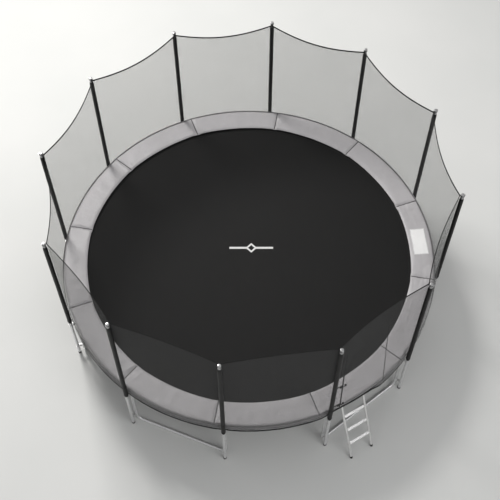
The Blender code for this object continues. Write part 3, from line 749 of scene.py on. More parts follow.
# %% Blow up one pad section
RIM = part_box("safety_pad")[1].x / cos(radians(2.0)) - 0.0005
SEAM_SHIFT = radians(-2.8)
SEAM_RADIUS = MAT_RADIUS - 0.030
COLUMNS, DEEP = 64, 26


def section_profile(share):
    """Points (radius, height) round a section at a place from -1 to 1 between its seams."""
    inner = SEAM_RADIUS - 0.010 * (1 - share * share)
    pinch = smooth((1 - abs(share)) / 0.055)
    low, high = PAD_HIGH - 0.0285, PAD_HIGH - 0.0125 + 0.0065 * pinch
    middle, half = (low + high) / 2, (high - low) / 2
    outer = RIM - 0.006
    line = []
    for side, steps in ((1, range(DEEP + 1)), (-1, range(DEEP - 1, 0, -1))):
        for t in [i / DEEP for i in steps]:
            edge = min(1.0, min(t, 1 - t) * 14)
            line.append((inner + (outer - inner) * t, middle + side * half * sqrt(edge * (2 - edge))))
    return line


def blow_up(rows, limit=0.006, frames=16):
    """Swell a closed section by cloth simulation, its two seams held, and return its points."""
    shape = Shape().grid(rows)
    mesh = bpy.data.meshes.new("blown")
    mesh.from_pydata([tuple(p) for p in shape.points], [], shape.faces)
    piece = add_object("blown", mesh)
    wide = len(rows[0])
    held = piece.vertex_groups.new(name="seams")
    total = len(shape.points)
    held.add(list(range(wide)) + list(range(total - wide, total)), 1.0, "REPLACE")
    cloth = piece.modifiers.new("cloth", "CLOTH")
    cloth.settings.quality = 5
    cloth.settings.mass = 0.4
    cloth.settings.vertex_group_mass = "seams"
    cloth.settings.use_pressure = True
    cloth.settings.uniform_pressure_force = 2.5
    cloth.settings.shrink_min = -0.02
    cloth.settings.effector_weights.gravity = 0.0
    cloth.collision_settings.use_collision = False
    cloth.point_cache.frame_end = frames
    for now in range(1, frames + 1):
        bpy.context.scene.frame_set(now)
    graph = bpy.context.evaluated_depsgraph_get()
    moved = [vert.co.copy() for vert in piece.evaluated_get(graph).data.vertices]
    bpy.context.scene.frame_set(1)
    bpy.data.objects.remove(piece)
    result = []
    for old, new in zip(shape.points, moved):
        step = new - old
        if step.length > limit:
            step *= limit / step.length
        result.append(old + step)
    return [result[i:i + wide] for i in range(0, total, wide)]


flat_section = []
for column in range(COLUMNS + 1):
    even = 2 * column / COLUMNS - 1
    share = even * (1.25 - 0.25 * even * even)
    flat_section.append([polar(r, share * SPAN / 2, z) for r, z in section_profile(share)])
blown_section = blow_up(flat_section)
print(f"one pad section of {len(blown_section) * len(blown_section[0])} points")

# %% [markdown]
# ## Twelve sections from one
#
# No two sections of a real pad lie alike. Each copy is turned to its place and pushed by
# noise, hardest beside the seams where the stitching gathers the vinyl. The sections at the
# way in and just beyond it are the most rucked. The underside stays clear of the ladder's
# hooks.

# %% Copy the section round the ring
RUCKED = {7: 2.4, 8: 1.9, 0: 1.2, 6: 1.5}


def crumple(point, k, amount):
    """How far to push a point of the pad up or down, more near the seams."""
    angle, radius = atan2(point.y, point.x), point.xy.length
    folds = ripple(angle * 14, radius * 5.0, k * 3.1) + 0.6 * ripple(angle * 38, radius * 9, k * 5.7)
    fine = noise.noise(point * 16 + Vector((0, 0, k * 2.9)))
    off = (angle - ANGLES[0] - SEAM_SHIFT) / SPAN % 1.0
    side = off if off < 0.5 else off - 1
    near = exp(-(side / 0.10) ** 2)
    puckers = ripple(radius * 16 + side * 70, side * 14, k * 1.7)
    gathers = ripple(radius * 42, side * 9, k * 2.3)
    lengthwise = ripple(radius * 34, angle * 5, k * 4.3)
    return (amount * (0.0024 * folds + 0.0012 * fine) + near * (0.0062 * puckers + 0.0030 * gathers)
            + 0.0022 * (amount - 0.6) * lengthwise)


def pad_section(k):
    middle = ANGLES[k] + SEAM_SHIFT + SPAN / 2
    turn = Matrix.Rotation(middle, 4, "Z")
    rows = []
    for row in blown_section:
        line = []
        for j, point in enumerate(row):
            spot = turn @ point
            upper = j <= DEEP
            if upper:
                spot.z += crumple(spot, k, RUCKED.get(k, 1.0))
            spot.z = min(max(spot.z, PAD_HIGH - 0.0287), PAD_HIGH + 0.006)
            if not upper:
                near = min((spot - polar(RAIL_RING, a, spot.z)).length for a in HOOK_AT)
                spot.z = max(spot.z, RAIL_Z + 0.0375 - 0.06 * max(0.0, near - 0.045))
            if spot.xy.length > RIM:
                spot.xy = spot.xy * (RIM / spot.xy.length)
            line.append(spot)
        rows.append(line)
    piece = Shape().grid(rows).make(f"pad_section_{k + 1:02d}", "frame", "pad_vinyl", [PAD_VINYL], sharp=60)
    if k == 0:
        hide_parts("safety_pad")
    return piece


pads = [pad_section(k) for k in range(SECTIONS)]
print(len(pads), "pad sections")

# %% [markdown]
# ## What is sewn to the pad
#
# Each joint between sections is a raised binding with a line of stitches. Dark piping runs
# round the rim, and below it hangs a skirt of the same vinyl that hides the rail. A blank
# white patch is sewn on one section.

# %% Bindings, piping, skirt and patch
def pad_tree():
    """All sections in one search tree, to lay things on them."""
    points, faces = [], []
    for piece in pads:
        start = len(points)
        points += [vert.co.copy() for vert in piece.data.vertices]
        faces += [[start + v for v in face.vertices] for face in piece.data.polygons]
    return BVHTree.FromPolygons(points, faces)


PAD_TREE = pad_tree()


def pad_top(x, y):
    """Height of the pad's skin over a point of the ground."""
    hit = PAD_TREE.ray_cast(Vector((x, y, PAD_HIGH + 0.2)), -UP)[0]
    return hit.z if hit else PAD_HIGH - 0.012


SEAM_TAPE = ((-0.0075, -0.0012), (-0.006, 0.0010), (0, 0.0017), (0.006, 0.0010), (0.0075, -0.0012),
             (0, -0.0022))
SKIRT_TOP, SKIRT_OUT = PAD_HIGH - 0.012, 0.0022


def seam_binding(k):
    """A folded tape over the joint between two sections, with two rows of stitches."""
    angle = ANGLES[k] + SEAM_SHIFT
    across, run = compass(angle)[1], polar(0.0016, angle)
    first, steps = SEAM_RADIUS + 0.004, 30
    rows = []
    for i in range(steps + 1):
        centre = polar(first + (RIM - 0.007 - SEAM_RADIUS) * i / steps, angle)
        z = max(pad_top(*(centre + across * off).xy) for off in (-0.006, 0, 0.006))
        lift = 0.0006 * ripple(i * 0.7, k, 0)
        rows.append([centre + across * off + UP * (z + rise + lift) for off, rise in SEAM_TAPE])
    shape = Shape().grid(rows)
    for i in range(1, 60):
        for off in (-0.0035, 0.0035):
            base = polar(first + (RIM - 0.012 - SEAM_RADIUS) * i / 60, angle) + across * off
            base.z = rows[min(steps, i // 2)][2].z + 0.0002
            shape.grid(sweep([base - run, base + UP * 0.0004, base + run], 0.0005, 5), 1)
    return shape.make(f"pad_seam_{k + 1:02d}", "frame", "pad_vinyl", [GREY_BINDING, WEBBING])


def piping():
    """The dark bead sewn round the rim."""
    path = [polar(RIM + 0.0022, angle, PAD_HIGH - 0.0105 + 0.0012 * wrinkle(angle, 0.0, 9.0, 2.0))
            for angle in full_turn(SECTIONS * 48)]
    return Shape().loop(path, 0.0028, 8).make("pad_rim_piping", "frame", "pad_vinyl", [GREY_BINDING])


def skirt():
    """The hanging edge, in wavy rows from the piping down, raised at the ladder."""
    rows = []
    for t in shares(9):
        row = []
        for angle in full_turn(SECTIONS * 60):
            drop = SKIRT_TOP - (PAD_LOW + 0.003)
            drop *= 1 - 0.58 * over_ladder(angle) - 0.30 * by_hook(angle)
            bunch = 1 + 1.5 * over_ladder(angle)
            wave = min(SKIRT_OUT, 0.0016 * bunch * wrinkle(angle, t, 16.0 * bunch)) * smooth(t * 2)
            sway = 0.0015 * wrinkle(angle, 1.0, 9.0) * t * (1 - by_hook(angle))
            radius = RIM + 0.0018 + 0.0022 * sin(t * pi / 2) + wave
            row.append(polar(radius, angle, SKIRT_TOP - drop * t + sway))
        rows.append(row)
    shape = Shape().grid(rows, caps=False, flat=lambda a, b: (b * 0.02, a * 0.008))
    shape.loop(rows[-1], 0.0018, 6, 1)
    piece = shape.make("pad_skirt", "frame", "pad_vinyl", [PAD_VINYL, GREY_BINDING])
    return piece


def patch():
    """A blank vinyl label laid on the pad, with a stitched border."""
    low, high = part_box("blank_patch")
    middle = (low + high) / 2
    out, across = compass(atan2(middle.y, middle.x))
    half_a, half_b = 0.095, 0.200

    def on_pad(a, b, lift):
        spot = middle + out * a + across * b
        return Vector((spot.x, spot.y, pad_top(spot.x, spot.y) + lift))

    rows = [[on_pad(half_a * (2 * s - 1), half_b * (2 * t - 1), 0.0012) for t in shares(28)]
            for s in shares(14)]
    shape = Shape().grid(rows, around=False)
    corners = rounded(half_a - 0.006, half_b - 0.006, 0.003, 2)
    path = []
    for (a, b), (c, d) in zip(corners, corners[1:] + corners[:1]):
        pieces = max(1, int(hypot(c - a, d - b) / 0.008))
        path += [on_pad(a + (c - a) * i / pieces, b + (d - b) * i / pieces, 0.0018) for i in range(pieces)]
    shape.loop(path, 0.0007, 5, 1)
    piece = shape.make("sewn_patch", "frame", "patch", [PATCH_VINYL, GREY_BINDING], ["blank_patch"])
    return piece


for k in range(SECTIONS):
    seam_binding(k)
piping()
skirt()
patch()
print("seams, piping, skirt and patch sewn on")

# %% [markdown]
# ## Mat, rings and springs
#
# The mat is one stretched disc with a doubled edge, and a wire triangle in a
# webbing loop for each spring. A spring is a coil wound tight on itself, with a hook at
# each end. The springs ride on no body: their place is baked into their points.

# %% The mat and its edge
def mat_piece():
    """One disc of cloth, a little lower in the middle, and its doubled edge."""
    rings = 22
    rows = []
    for i in range(rings + 1):
        share = (i + 0.02) / (rings + 0.02)
        height = MAT_Z - 0.003 - 0.0015 * (1 - share ** 2)
        rows.append([polar(MAT_RADIUS * share, angle, height) for angle in full_turn(SECTIONS * 16)])
    shape = Shape().grid(rows, flat=lambda a, b: (a * 0.1, b * 0.01))
    for kept in (shape.faces, shape.flat, shape.finish):
        kept.pop()  # The last face would close the rim.
    piece = shape.make("mat_cloth", "mat", "mat_weave", [MAT_WEAVE], ["jumping_mat"])
    edge = Shape()
    low, high = MAT_Z - 0.0062, MAT_Z + 0.0006
    profile = [(MAT_RADIUS - 0.055, low), (MAT_RADIUS - 0.001, low), (MAT_RADIUS, low + 0.002),
               (MAT_RADIUS, high - 0.002), (MAT_RADIUS - 0.001, high), (MAT_RADIUS - 0.055, high),
               (MAT_RADIUS - 0.057, (low + high) / 2)]
    edge.grid([[polar(r, a, z) for r, z in profile] for a in full_turn(192)], closed=True)
    band = edge.make("mat_edge_band", "mat", "mat_weave", [WEBBING])
    return piece


SPRING_COUNT = SECTIONS * 8
SPRING_ANGLES = [ANGLES[-1] + (i + 0.5) * tau / SPRING_COUNT for i in range(SPRING_COUNT)]
RING_OUT = MAT_RADIUS + 0.028
SPRING_Z = RAIL_Z


def triangle_rings():
    """One bent wire triangle for each spring, its base in the mat's edge."""
    shape = Shape()
    for angle in SPRING_ANGLES:
        out, across = compass(angle)
        tip, base = polar(RING_OUT, angle, SPRING_Z), polar(MAT_RADIUS - 0.004, angle, SPRING_Z)
        path = [base - across * 0.016, base + across * 0.016, base + across * 0.018 + out * 0.004,
                tip + across * 0.004, tip, tip - across * 0.004, base - across * 0.018 + out * 0.004]
        shape.loop(path, 0.0019, 6)
        for side in (-0.011, 0.011):
            strap = rounded(0.006, 0.0038, 0.0015, 2)
            shape.grid(slab(strap, base + across * side - out * 0.007, across, UP, out * 0.011, 0.0006), 1)
    return shape.make("mat_rings", "mat", "spring_steel", [SPRING_STEEL, WEBBING])


def spring_path(angle):
    """The wire of one spring: hook, tight coil, hook."""
    out, across = compass(angle)
    start, end = RING_OUT + 0.006, RAIL_RING - TUBE - 0.014
    coil, pitch, per_turn = 0.0052, 0.0046, 8
    turns = int((end - start - 0.02) / pitch)
    first = start + 0.010
    path = []
    for a in [pi * (0.95 - 0.95 * t) for t in shares(4)]:
        curl = 0.0035 * (1 - cos(a - pi))
        path.append(out * (RING_OUT - 0.001 + curl) + UP * 0.0045 * sin(a))
    for i in range(turns * per_turn + 1):
        a = tau * i / per_turn
        path.append(out * (first + pitch * i / per_turn) + coil * (cos(a) * across + sin(a) * UP))
    last = first + pitch * turns
    for t in shares(4)[1:]:
        path.append(out * (last + (RAIL_RING - TUBE - 0.001 - last) * t) + UP * 0.0050 * sin(pi * t))
    return [point + UP * SPRING_Z for point in path]


def spring_group(index, each=3):
    shape = Shape()
    chosen = SPRING_ANGLES[index * each:(index + 1) * each]
    for angle in chosen:
        shape.grid(sweep(spring_path(angle), 0.0013, 4))
    piece = shape.make(f"spring_group_{index + 1:02d}", "frame", "spring_steel", [SPRING_STEEL], ride=False,
                       replaces=["spring_set"] if index == 0 else (), sharp=80)
    middle = sum(chosen) / each
    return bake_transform(piece, "frame", "mat", start=polar(RAIL_RING - TUBE, middle, SPRING_Z),
                    end=polar(RING_OUT + 0.004, middle, SPRING_Z))


for index in range(SPRING_COUNT // 3):
    spring_group(index)
triangle_rings()
mat_piece()
print(f"{SPRING_COUNT} springs, mat of {2 * MAT_RADIUS:.2f} m")

# %% [markdown]
# ## The net
#
# The net hangs inside the poles. It is upright to the pad, and above it each span draws in
# towards a straight line between two pole tops, with a little sag along the top rope. The
# span at the ladder has a doorway. Each span is one panel of open cloth.

# %% The net's surface
NET_RING = POLE_RING - 0.0285 - 0.0015
ENTRANCE = 6
BULGE, ENTRANCE_BULGE, SAG = 0.050, 0.070, 0.065
ZIP_ANGLE = ANGLES[ENTRANCE] + radians(3.2)
DOOR_ANGLE = radians(15.4)


def net_point(angle, height, inset=0.0):
    """A point of the net's middle surface."""
    turns = (angle - ANGLES[0]) / SPAN
    span = (turns + 1e-9) // 1
    share = 2 * (turns - span) - 1
    bow = 1 - share * share
    bulge = ENTRANCE_BULGE if span % SECTIONS == ENTRANCE else BULGE
    top = NET_RING * cos(SPAN / 2) / cos(share * SPAN / 2) - bulge * bow
    top_z = NET_HIGH - SAG * bow
    lean = max(0.0, (min(height, top_z) - SILL) / (top_z - SILL))
    return polar(NET_RING + (top - NET_RING) * lean - inset, angle, min(height, top_z))


def hem_height(angle):
    """The net's lower edge, drawn up over the ladder."""
    rest = NET_LOW + 0.004 + 0.0035 * wrinkle(angle, 0.0, 14.0, 5.0)
    return rest + (SILL - 0.052 - rest) * over_ladder(angle)


def net_panel(k):
    """One span of netting, from the hem to the top rope, with the doorway left out at the ladder."""
    first = ANGLES[0] + k * SPAN
    entrance = k == ENTRANCE
    doorway = (ZIP_ANGLE, ZIP_ANGLE + DOOR_ANGLE)
    door_share = (DOOR_HEAD - SILL) / (NET_HIGH - SILL)
    columns = [first + SPAN * t for t in shares(30)]
    levels = [-0.6, -0.4, -0.2, 0.0] + shares(36)[1:]
    if entrance:
        clear = [a for a in columns if min(abs(a - edge) for edge in doorway) > 0.01]
        columns = sorted(clear + list(doorway))
        near = min(range(len(levels)), key=lambda i: abs(levels[i] - door_share))
        levels[near] = door_share
    grid = []
    for level in levels:
        row = []
        for angle in columns:
            top_z = net_point(angle, 99).z
            if level <= 0:
                z = SILL + (SILL - hem_height(angle)) * level / 0.6
            elif entrance and level <= door_share:
                z = SILL + (DOOR_HEAD - SILL) * level / door_share
            elif entrance:
                z = DOOR_HEAD + (top_z - DOOR_HEAD) * (level - door_share) / (1 - door_share)
            else:
                z = SILL + (top_z - SILL) * level
            hang = smooth((z - SILL) / 0.3) * smooth((top_z - z) / 0.25)
            edge = sin(pi * (angle - first) / SPAN)
            fold = 0.004 * ripple(angle * 20, z * 0.8, k * 2.0) * hang * edge
            if entrance:
                fold *= 0.3
            row.append(net_point(angle, z, fold + (0.0012 if z < SILL else 0.0)))
        grid.append(row)

    def solid(i, j):
        inside = doorway[0] - 1e-6 < columns[j] < doorway[1] - 1e-6
        return not (entrance and inside and -1e-6 < levels[i] < door_share - 1e-6)

    def flat(i, j):
        return columns[j] * NET_RING, grid[i][j].z

    piece = Shape().grid(grid, around=False, flat=flat, keep=solid).make(
        f"net_panel_{k + 1:02d}", "frame", "netting", [NETTING],
        ["enclosure_net"] if k == 0 else (), sharp=80)
    return piece


panels = [net_panel(k) for k in range(SECTIONS)]
print("net hung in", len(panels), "panels")

# %% [markdown]
# ## What holds the net
#
# A bound hem is gathered under the pad's rim, and a rope lies along the top over a bound
# edge. A loop ties the rope to each pole's cap, and two straps go round each pole lower down.

# %% Hem, rope and ties
def net_hem():
    """The black bound edge that is gathered under the pad's rim."""
    rows = []
    for t in shares(5):
        row = []
        for angle in full_turn(SECTIONS * 60):
            near = min(apart(angle, a) for a in ANGLES)
            free = smooth((near * NET_RING - 0.03) / 0.08)
            gather = 0.0026 + 0.004 * over_ladder(angle)
            wave = max(-0.0005, gather * wrinkle(angle, t * 0.3, 30.0, 1.0) * free)
            z = hem_height(angle) + 0.042 * t
            row.append(net_point(angle, z, -0.0008 - wave * (1 - 0.6 * t) - 0.001 * free))
        rows.append(row)
    shape = Shape().grid(rows, caps=False, flat=lambda a, b: (b * 0.02, a * 0.01))
    return shape.make("net_hem", "frame", "netting", [WEBBING])


def net_rope():
    """The rope along the top of the net, and the bound edge below it."""
    count = SECTIONS * 40
    path = [net_point(ANGLES[0] + tau * i / count, 99) + UP * 0.0045 for i in range(count)]
    shape = Shape().loop(path, 0.0050, 8, flat=lambda a, b: (b / 8, a * 0.0315))
    corners = ((0.003, 0.0016), (0.016, 0.0016), (0.016, -0.0016), (0.003, -0.0016))
    band = [[point - UP * drop + outward(point) * side for drop, side in corners] for point in path]
    shape.grid(band, 1, closed=True, caps=False)
    return shape.make("net_rope", "frame", "rope", [ROPE, WEBBING], ["net_top_rope"])


def pole_tie(k):
    """A loop from the rope round the cap, a knot in it, and two straps round the pole."""
    out, across = compass(ANGLES[k])
    z = NET_HIGH + 0.006
    path = []
    for centre, radius, start, steps in ((POLE_RING, 0.0232, -pi / 2, 8), (NET_RING, 0.0065, pi / 2, 6)):
        for a in [start + pi * t for t in shares(steps)]:
            path.append(out * (centre + radius * cos(a)) + across * radius * sin(a) + UP * z)
    shape = Shape().loop(path, 0.0022, 6)
    knot = [(0.002, -0.008), (0.0065, -0.004), (0.0072, 0.001), (0.006, 0.005), (0.002, 0.008)]
    shape.grid(turned(knot, out * (NET_RING - 0.001) + UP * z, across, 10))
    for height, tall in ((RAIL_Z - 0.055, 0.022), (SILL + 0.10, 0.018)):
        profile = ((0.0270, 0), (0.0282, 0.001), (0.0282, tall - 0.001), (0.0270, tall))
        shape.grid([[out * POLE_RING + polar(r, a, height + d) for a in full_turn(20)]
                    for r, d in profile], 1, caps=False)
    return shape.make(f"pole_tie_{k + 1:02d}", "frame", "rope", [ROPE, WEBBING])


net_hem()
net_rope()
for k in range(SECTIONS):
    pole_tie(k)
print("hem, rope and", SECTIONS, "ties")

# %% [markdown]
# ## The doorway
#
# Webbing borders the doorway on the net and the door's own edge. A zip joins the free
# edge, and two side-release buckles back it up. The door, its tape and its teeth ride on
# the door body. The slider and the two clasps have bodies of their own.

# %% Borders, zip and door
ZIP_TAPE, EDGE_TAPE, TAPE_HALF = 0.008, 0.004, 0.0008
DOOR_GAP, LIP_GAP = 0.0008, 0.0010


def border(shape, line, aside, wide, gap):
    """A flat tape along a line of points, a gap away to one side of it."""
    rows = []
    for point, off in zip(line, aside):
        face, near = outward(point) * TAPE_HALF, point + off * gap
        rows.append([near + face, near + off * wide + face, near + off * wide - face, near - face])
    shape.grid(rows)


def door_line(angle, low, high, steps=24):
    return [net_point(angle, low + (high - low) * t) for t in shares(steps)]


def level_line(low, high, height, steps=16):
    return [net_point(low + (high - low) * t, height) for t in shares(steps)]


def edging(shape, left, right, bottom, top, away, gap=0.0):
    """Tape round four sides, laid outside them if away is 1 and inside if it is -1."""
    for angle, sign, wide in ((left, -away, ZIP_TAPE), (right, away, EDGE_TAPE)):
        line = door_line(angle, bottom, top)
        border(shape, line, [sideways(point, sign) for point in line], wide, gap)
    for height, sign in ((bottom, -away), (top, away)):
        line = level_line(left, right, height)
        border(shape, line, [UP * sign] * len(line), EDGE_TAPE, gap)


def teeth(shape, line, sign, finish=1):
    """Moulded zip teeth along the edge."""
    total = sum((b - a).length for a, b in zip(line, line[1:]))
    start, end = line[0], line[-1]
    count = int(total / 0.0075)
    for i in range(count):
        point = start.lerp(end, (i + 0.5) / count)
        base = point + sideways(point, sign) * 0.0002 - outward(point) * 0.0015
        shape.grid(slab(rounded(0.0018, 0.0015, 0.0006, 1), base, UP, outward(point),
                        sideways(point, sign) * 0.004, 0.0004), finish)


def doorway():
    shape = Shape()
    edging(shape, ZIP_ANGLE, ZIP_ANGLE + DOOR_ANGLE, SILL, DOOR_HEAD, 1, LIP_GAP)
    teeth(shape, door_line(ZIP_ANGLE, SILL, DOOR_HEAD), -1)
    return shape.make("doorway_border", "frame", "netting", [BLACK_NET_TAPE, PLASTIC])


def door():
    """The door's netting, loose in the middle, with its tape and half of the zip."""
    low, high = ZIP_ANGLE + DOOR_GAP, ZIP_ANGLE + DOOR_ANGLE - DOOR_GAP
    bottom, top = SILL + DOOR_GAP, DOOR_HEAD - DOOR_GAP
    wide, tall = 18, 36
    rows = []
    for t in shares(tall):
        z = bottom + (top - bottom) * t
        row = []
        for j, s in enumerate(shares(wide)):
            loose = 0.003 * sin(pi * s) * sin(pi * t)
            row.append(net_point(low + (high - low) * s, z, loose * ripple(j * 0.5, z, 0)))
        rows.append(row)

    def flat(a, b):
        return (low + (high - low) * b / wide) * NET_RING, bottom + (top - bottom) * a / tall

    piece = Shape().grid(rows, around=False, flat=flat).make(
        "door_net", "door", "netting", [NETTING], ["net_door"], sharp=80)
    edge = Shape()
    edging(edge, low, high, bottom, top, -1)
    teeth(edge, door_line(low, bottom, top), 1)
    tape = edge.make("door_border", "door", "netting", [BLACK_NET_TAPE, PLASTIC])
    return (piece, (high - low) * NET_RING)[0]


doorway()
door()
print("door", f"{DOOR_ANGLE * NET_RING:.2f} by {DOOR_HEAD - SILL:.2f} m")

# %% [markdown]
# ## Zip slider and buckles
#
# These are small mouldings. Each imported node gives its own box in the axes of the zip, and
# the fine piece is drawn inside that box, so the joints still carry it as they should.

# %% Small hardware
ZIP_UP = Vector(joints["zip_slide"]["axis"]).normalized()
ZIP_ACROSS = Vector(joints["buckle_lower"]["axis"]).normalized()
ZIP_OUT = ZIP_ACROSS.cross(ZIP_UP).normalized()
if ZIP_OUT.dot(outward(net_point(ZIP_ANGLE, SILL))) < 0:
    ZIP_OUT.negate()


def own_box(node):
    """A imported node's box in the zip's axes: base point and the three lengths."""
    points = cad_points(node)
    spans = []
    for axis in (ZIP_ACROSS, ZIP_OUT, ZIP_UP):
        reach = [point.dot(axis) for point in points]
        spans.append((min(reach), max(reach)))
    base = Matrix((ZIP_ACROSS, ZIP_OUT, ZIP_UP)).inverted() @ Vector([low for low, _ in spans])
    return base, [high - low for low, high in spans]


def block(shape, base, spot, half, corner, depth, chamfer, steps=2, finish=0):
    """A rounded plate that faces out from the net, centred at spot (across, up) from a base point."""
    outline = [(spot[0] + a, spot[1] + b) for a, b in rounded(*half, corner, steps)]
    shape.grid(slab(outline, base, ZIP_ACROSS, ZIP_UP, ZIP_OUT * depth, chamfer), finish)


def zip_slider():
    """A shield-shaped body, the bridge over it, and a pull tab."""
    base, (wide, deep, tall) = own_box("zip_slider")
    shape = Shape()
    outline = [(wide * (0.5 + a), tall * (0.5 + b)) for a, b in
               ((-0.28, -0.5), (0.28, -0.5), (0.5, -0.1), (0.5, 0.35), (0.32, 0.5), (0, 0.42),
                (-0.32, 0.5), (-0.5, 0.35), (-0.5, -0.1))]
    shape.grid(slab(outline, base, ZIP_ACROSS, ZIP_UP, ZIP_OUT * deep * 0.55, 0.0007))
    bridge = [base + ZIP_ACROSS * wide / 2 + ZIP_UP * tall * (0.2 + 0.6 * t)
              + ZIP_OUT * deep * (0.5 + 0.4 * sin(pi * t)) for t in shares(8)]
    shape.grid(sweep(bridge, 0.0011, 8))
    hinge = base + ZIP_ACROSS * wide / 2 + ZIP_UP * tall * 0.22 + ZIP_OUT * deep * 0.72
    block(shape, hinge, (0, 0), (wide * 0.26, tall * 0.38), 0.0015, deep * 0.22, 0.0004, 3)
    return shape.make("slider_body", "zip_slider", "black_plastic", [BOLT_STEEL], ["zip_slider"])


def buckle_tray(name):
    """A socket with two walls and three ribs, and the strap that ties it to the net."""
    base, (wide, deep, tall) = own_box(f"buckle_tray_{name}")
    shape = Shape()
    wall, bed = 0.003, deep * 0.28
    middle = base + ZIP_UP * tall / 2
    block(shape, middle, (wide / 2, 0), (wide / 2, tall / 2), 0.004, bed, 0.0008, 3)
    for sign in (-1, 1):
        block(shape, middle + ZIP_OUT * bed * 0.6, (wide / 2, sign * (tall / 2 - wall / 2)),
              (wide / 2 - 0.0006, wall / 2), 0.001, deep - bed * 0.6, 0.0005)
    for share in (0.2, 0.45, 0.7):
        block(shape, middle + ZIP_OUT * bed * 0.8, (wide * share, 0), (0.0012, tall / 2 - wall * 1.6),
              0.0008, 0.0022, 0.0004)
    strap, long = [], 0.055
    for t in shares(12):
        where = middle + ZIP_ACROSS * (0.006 - long * t) + ZIP_OUT * (0.0015 + 0.003 * t)
        strap.append([where + ZIP_UP * s * 0.0115 + ZIP_OUT * d for s, d in
                      ((-1, 0), (1, 0), (1, 0.0016), (-1, 0.0016))])
    shape.grid(strap, 1)
    return shape.make(f"buckle_socket_{name}", "frame", "black_plastic", [PLASTIC, WEBBING],
                      [f"buckle_tray_{name}"])


def buckle_clasp(name):
    """A fork of three prongs on a plate, with the strap that is sewn to the door."""
    base, (wide, deep, tall) = own_box(f"buckle_clasp_{name}")
    thick = 0.004
    shape = Shape()
    face = base + ZIP_OUT * (deep - thick) + ZIP_UP * tall / 2
    block(shape, face, (wide * 0.70, 0), (wide * 0.30, tall / 2 - 0.0003), 0.003, thick, 0.0007, 3)
    for off, half in ((-0.36, 0.10), (0.0, 0.12), (0.36, 0.10)):
        block(shape, face + ZIP_OUT * 0.0005, (wide * 0.215, tall * off), (wide * 0.215, tall * half),
              0.0016, thick - 0.001, 0.0005)
    for share in (0.55, 0.66, 0.77):
        block(shape, face + ZIP_OUT * (thick - 0.0006), (wide * share, 0), (0.0011, tall * 0.34),
              0.0008, 0.0006, 0.0003)
    block(shape, base + ZIP_OUT * 0.0012 + ZIP_UP * tall / 2, (wide - 0.0125, 0), (0.0115, tall * 0.44),
          0.002, deep - thick - 0.0006, 0.0006, finish=1)
    return shape.make(f"buckle_fork_{name}", f"clasp_{name}", "black_plastic", [PLASTIC, WEBBING],
                      [f"buckle_clasp_{name}"])


zip_slider()
for name in ("lower", "upper"):
    buckle_tray(name)
    buckle_clasp(name)
print("zip slider and two buckles")

# %% [markdown]
# ## The ladder
#
# Two tubes are flattened at the top into hooks that hang on the rail, and three ribbed
# steps are screwed between them. The tubes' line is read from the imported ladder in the
# axes of its hinge, so that the hooks stay centred on the rail as it swings.

# %% Ladder
LADDER_TUBE, HOOK_WIRE, HOOK_SLIP = 0.015, 0.006, 0.0004
SHOULDER, HOOK_END, SHOE = 0.040, radians(150), 0.0165
PLACE = Matrix.Translation(HINGE) @ TURN
INTO = PLACE.inverted()


def ladder_foot(node):
    """Middle of the tube's lower end, in the hinge's axes."""
    points = sorted((INTO @ p for p in cad_points(node)), key=lambda p: p.z)[:8]
    return sum(points, Vector()) / 8


def ladder_side(name):
    """A tube flattened into a hook at its top, with a rubber shoe that stands on the ground."""
    foot = ladder_foot(f"ladder_rail_{name}")
    circle = TUBE + HOOK_SLIP + HOOK_WIRE
    flat_foot = Vector((foot.x, 0, foot.z))
    meet = atan2(foot.z, foot.x) + acos(circle / flat_foot.length)
    start = Vector((cos(meet), 0, sin(meet))) * circle
    along = (start - flat_foot).normalized()
    ground = SHOE * sqrt(1 - along.z ** 2) - HINGE.z
    flat_foot += along * max(0.0, ground - flat_foot.z) / along.z
    aside = Vector((0, foot.y, 0))
    stations = [(flat_foot, 0.0146), (flat_foot.lerp(start, 0.002), LADDER_TUBE)]
    stations += [(start - along * SHOULDER * back, radius) for back, radius in
                 ((1, LADDER_TUBE), (0.8, 0.0142), (0.55, 0.0095), (0.35, 0.0066), (0.15, HOOK_WIRE))]
    for t in shares(14):
        a = meet + (HOOK_END - meet) * t
        stations.append((Vector((cos(a), 0, sin(a))) * circle, HOOK_WIRE if t < 1 else HOOK_WIRE * 0.7))
    shape = Shape().grid(sweep([PLACE @ (p + aside) for p, _ in stations], [r for _, r in stations], 18))
    shoe = [PLACE @ (flat_foot + along * d + aside) for d in (0.0, 0.004, 0.036, 0.040)]
    shape.grid(sweep(shoe, [0.0136, 0.0158, 0.0160, 0.0152], 18), 1)
    return shape.make(f"ladder_tube_{name}", "ladder", "ladder_steel", [LADDER_STEEL, RUBBER],
                      [f"ladder_rail_{name}"])


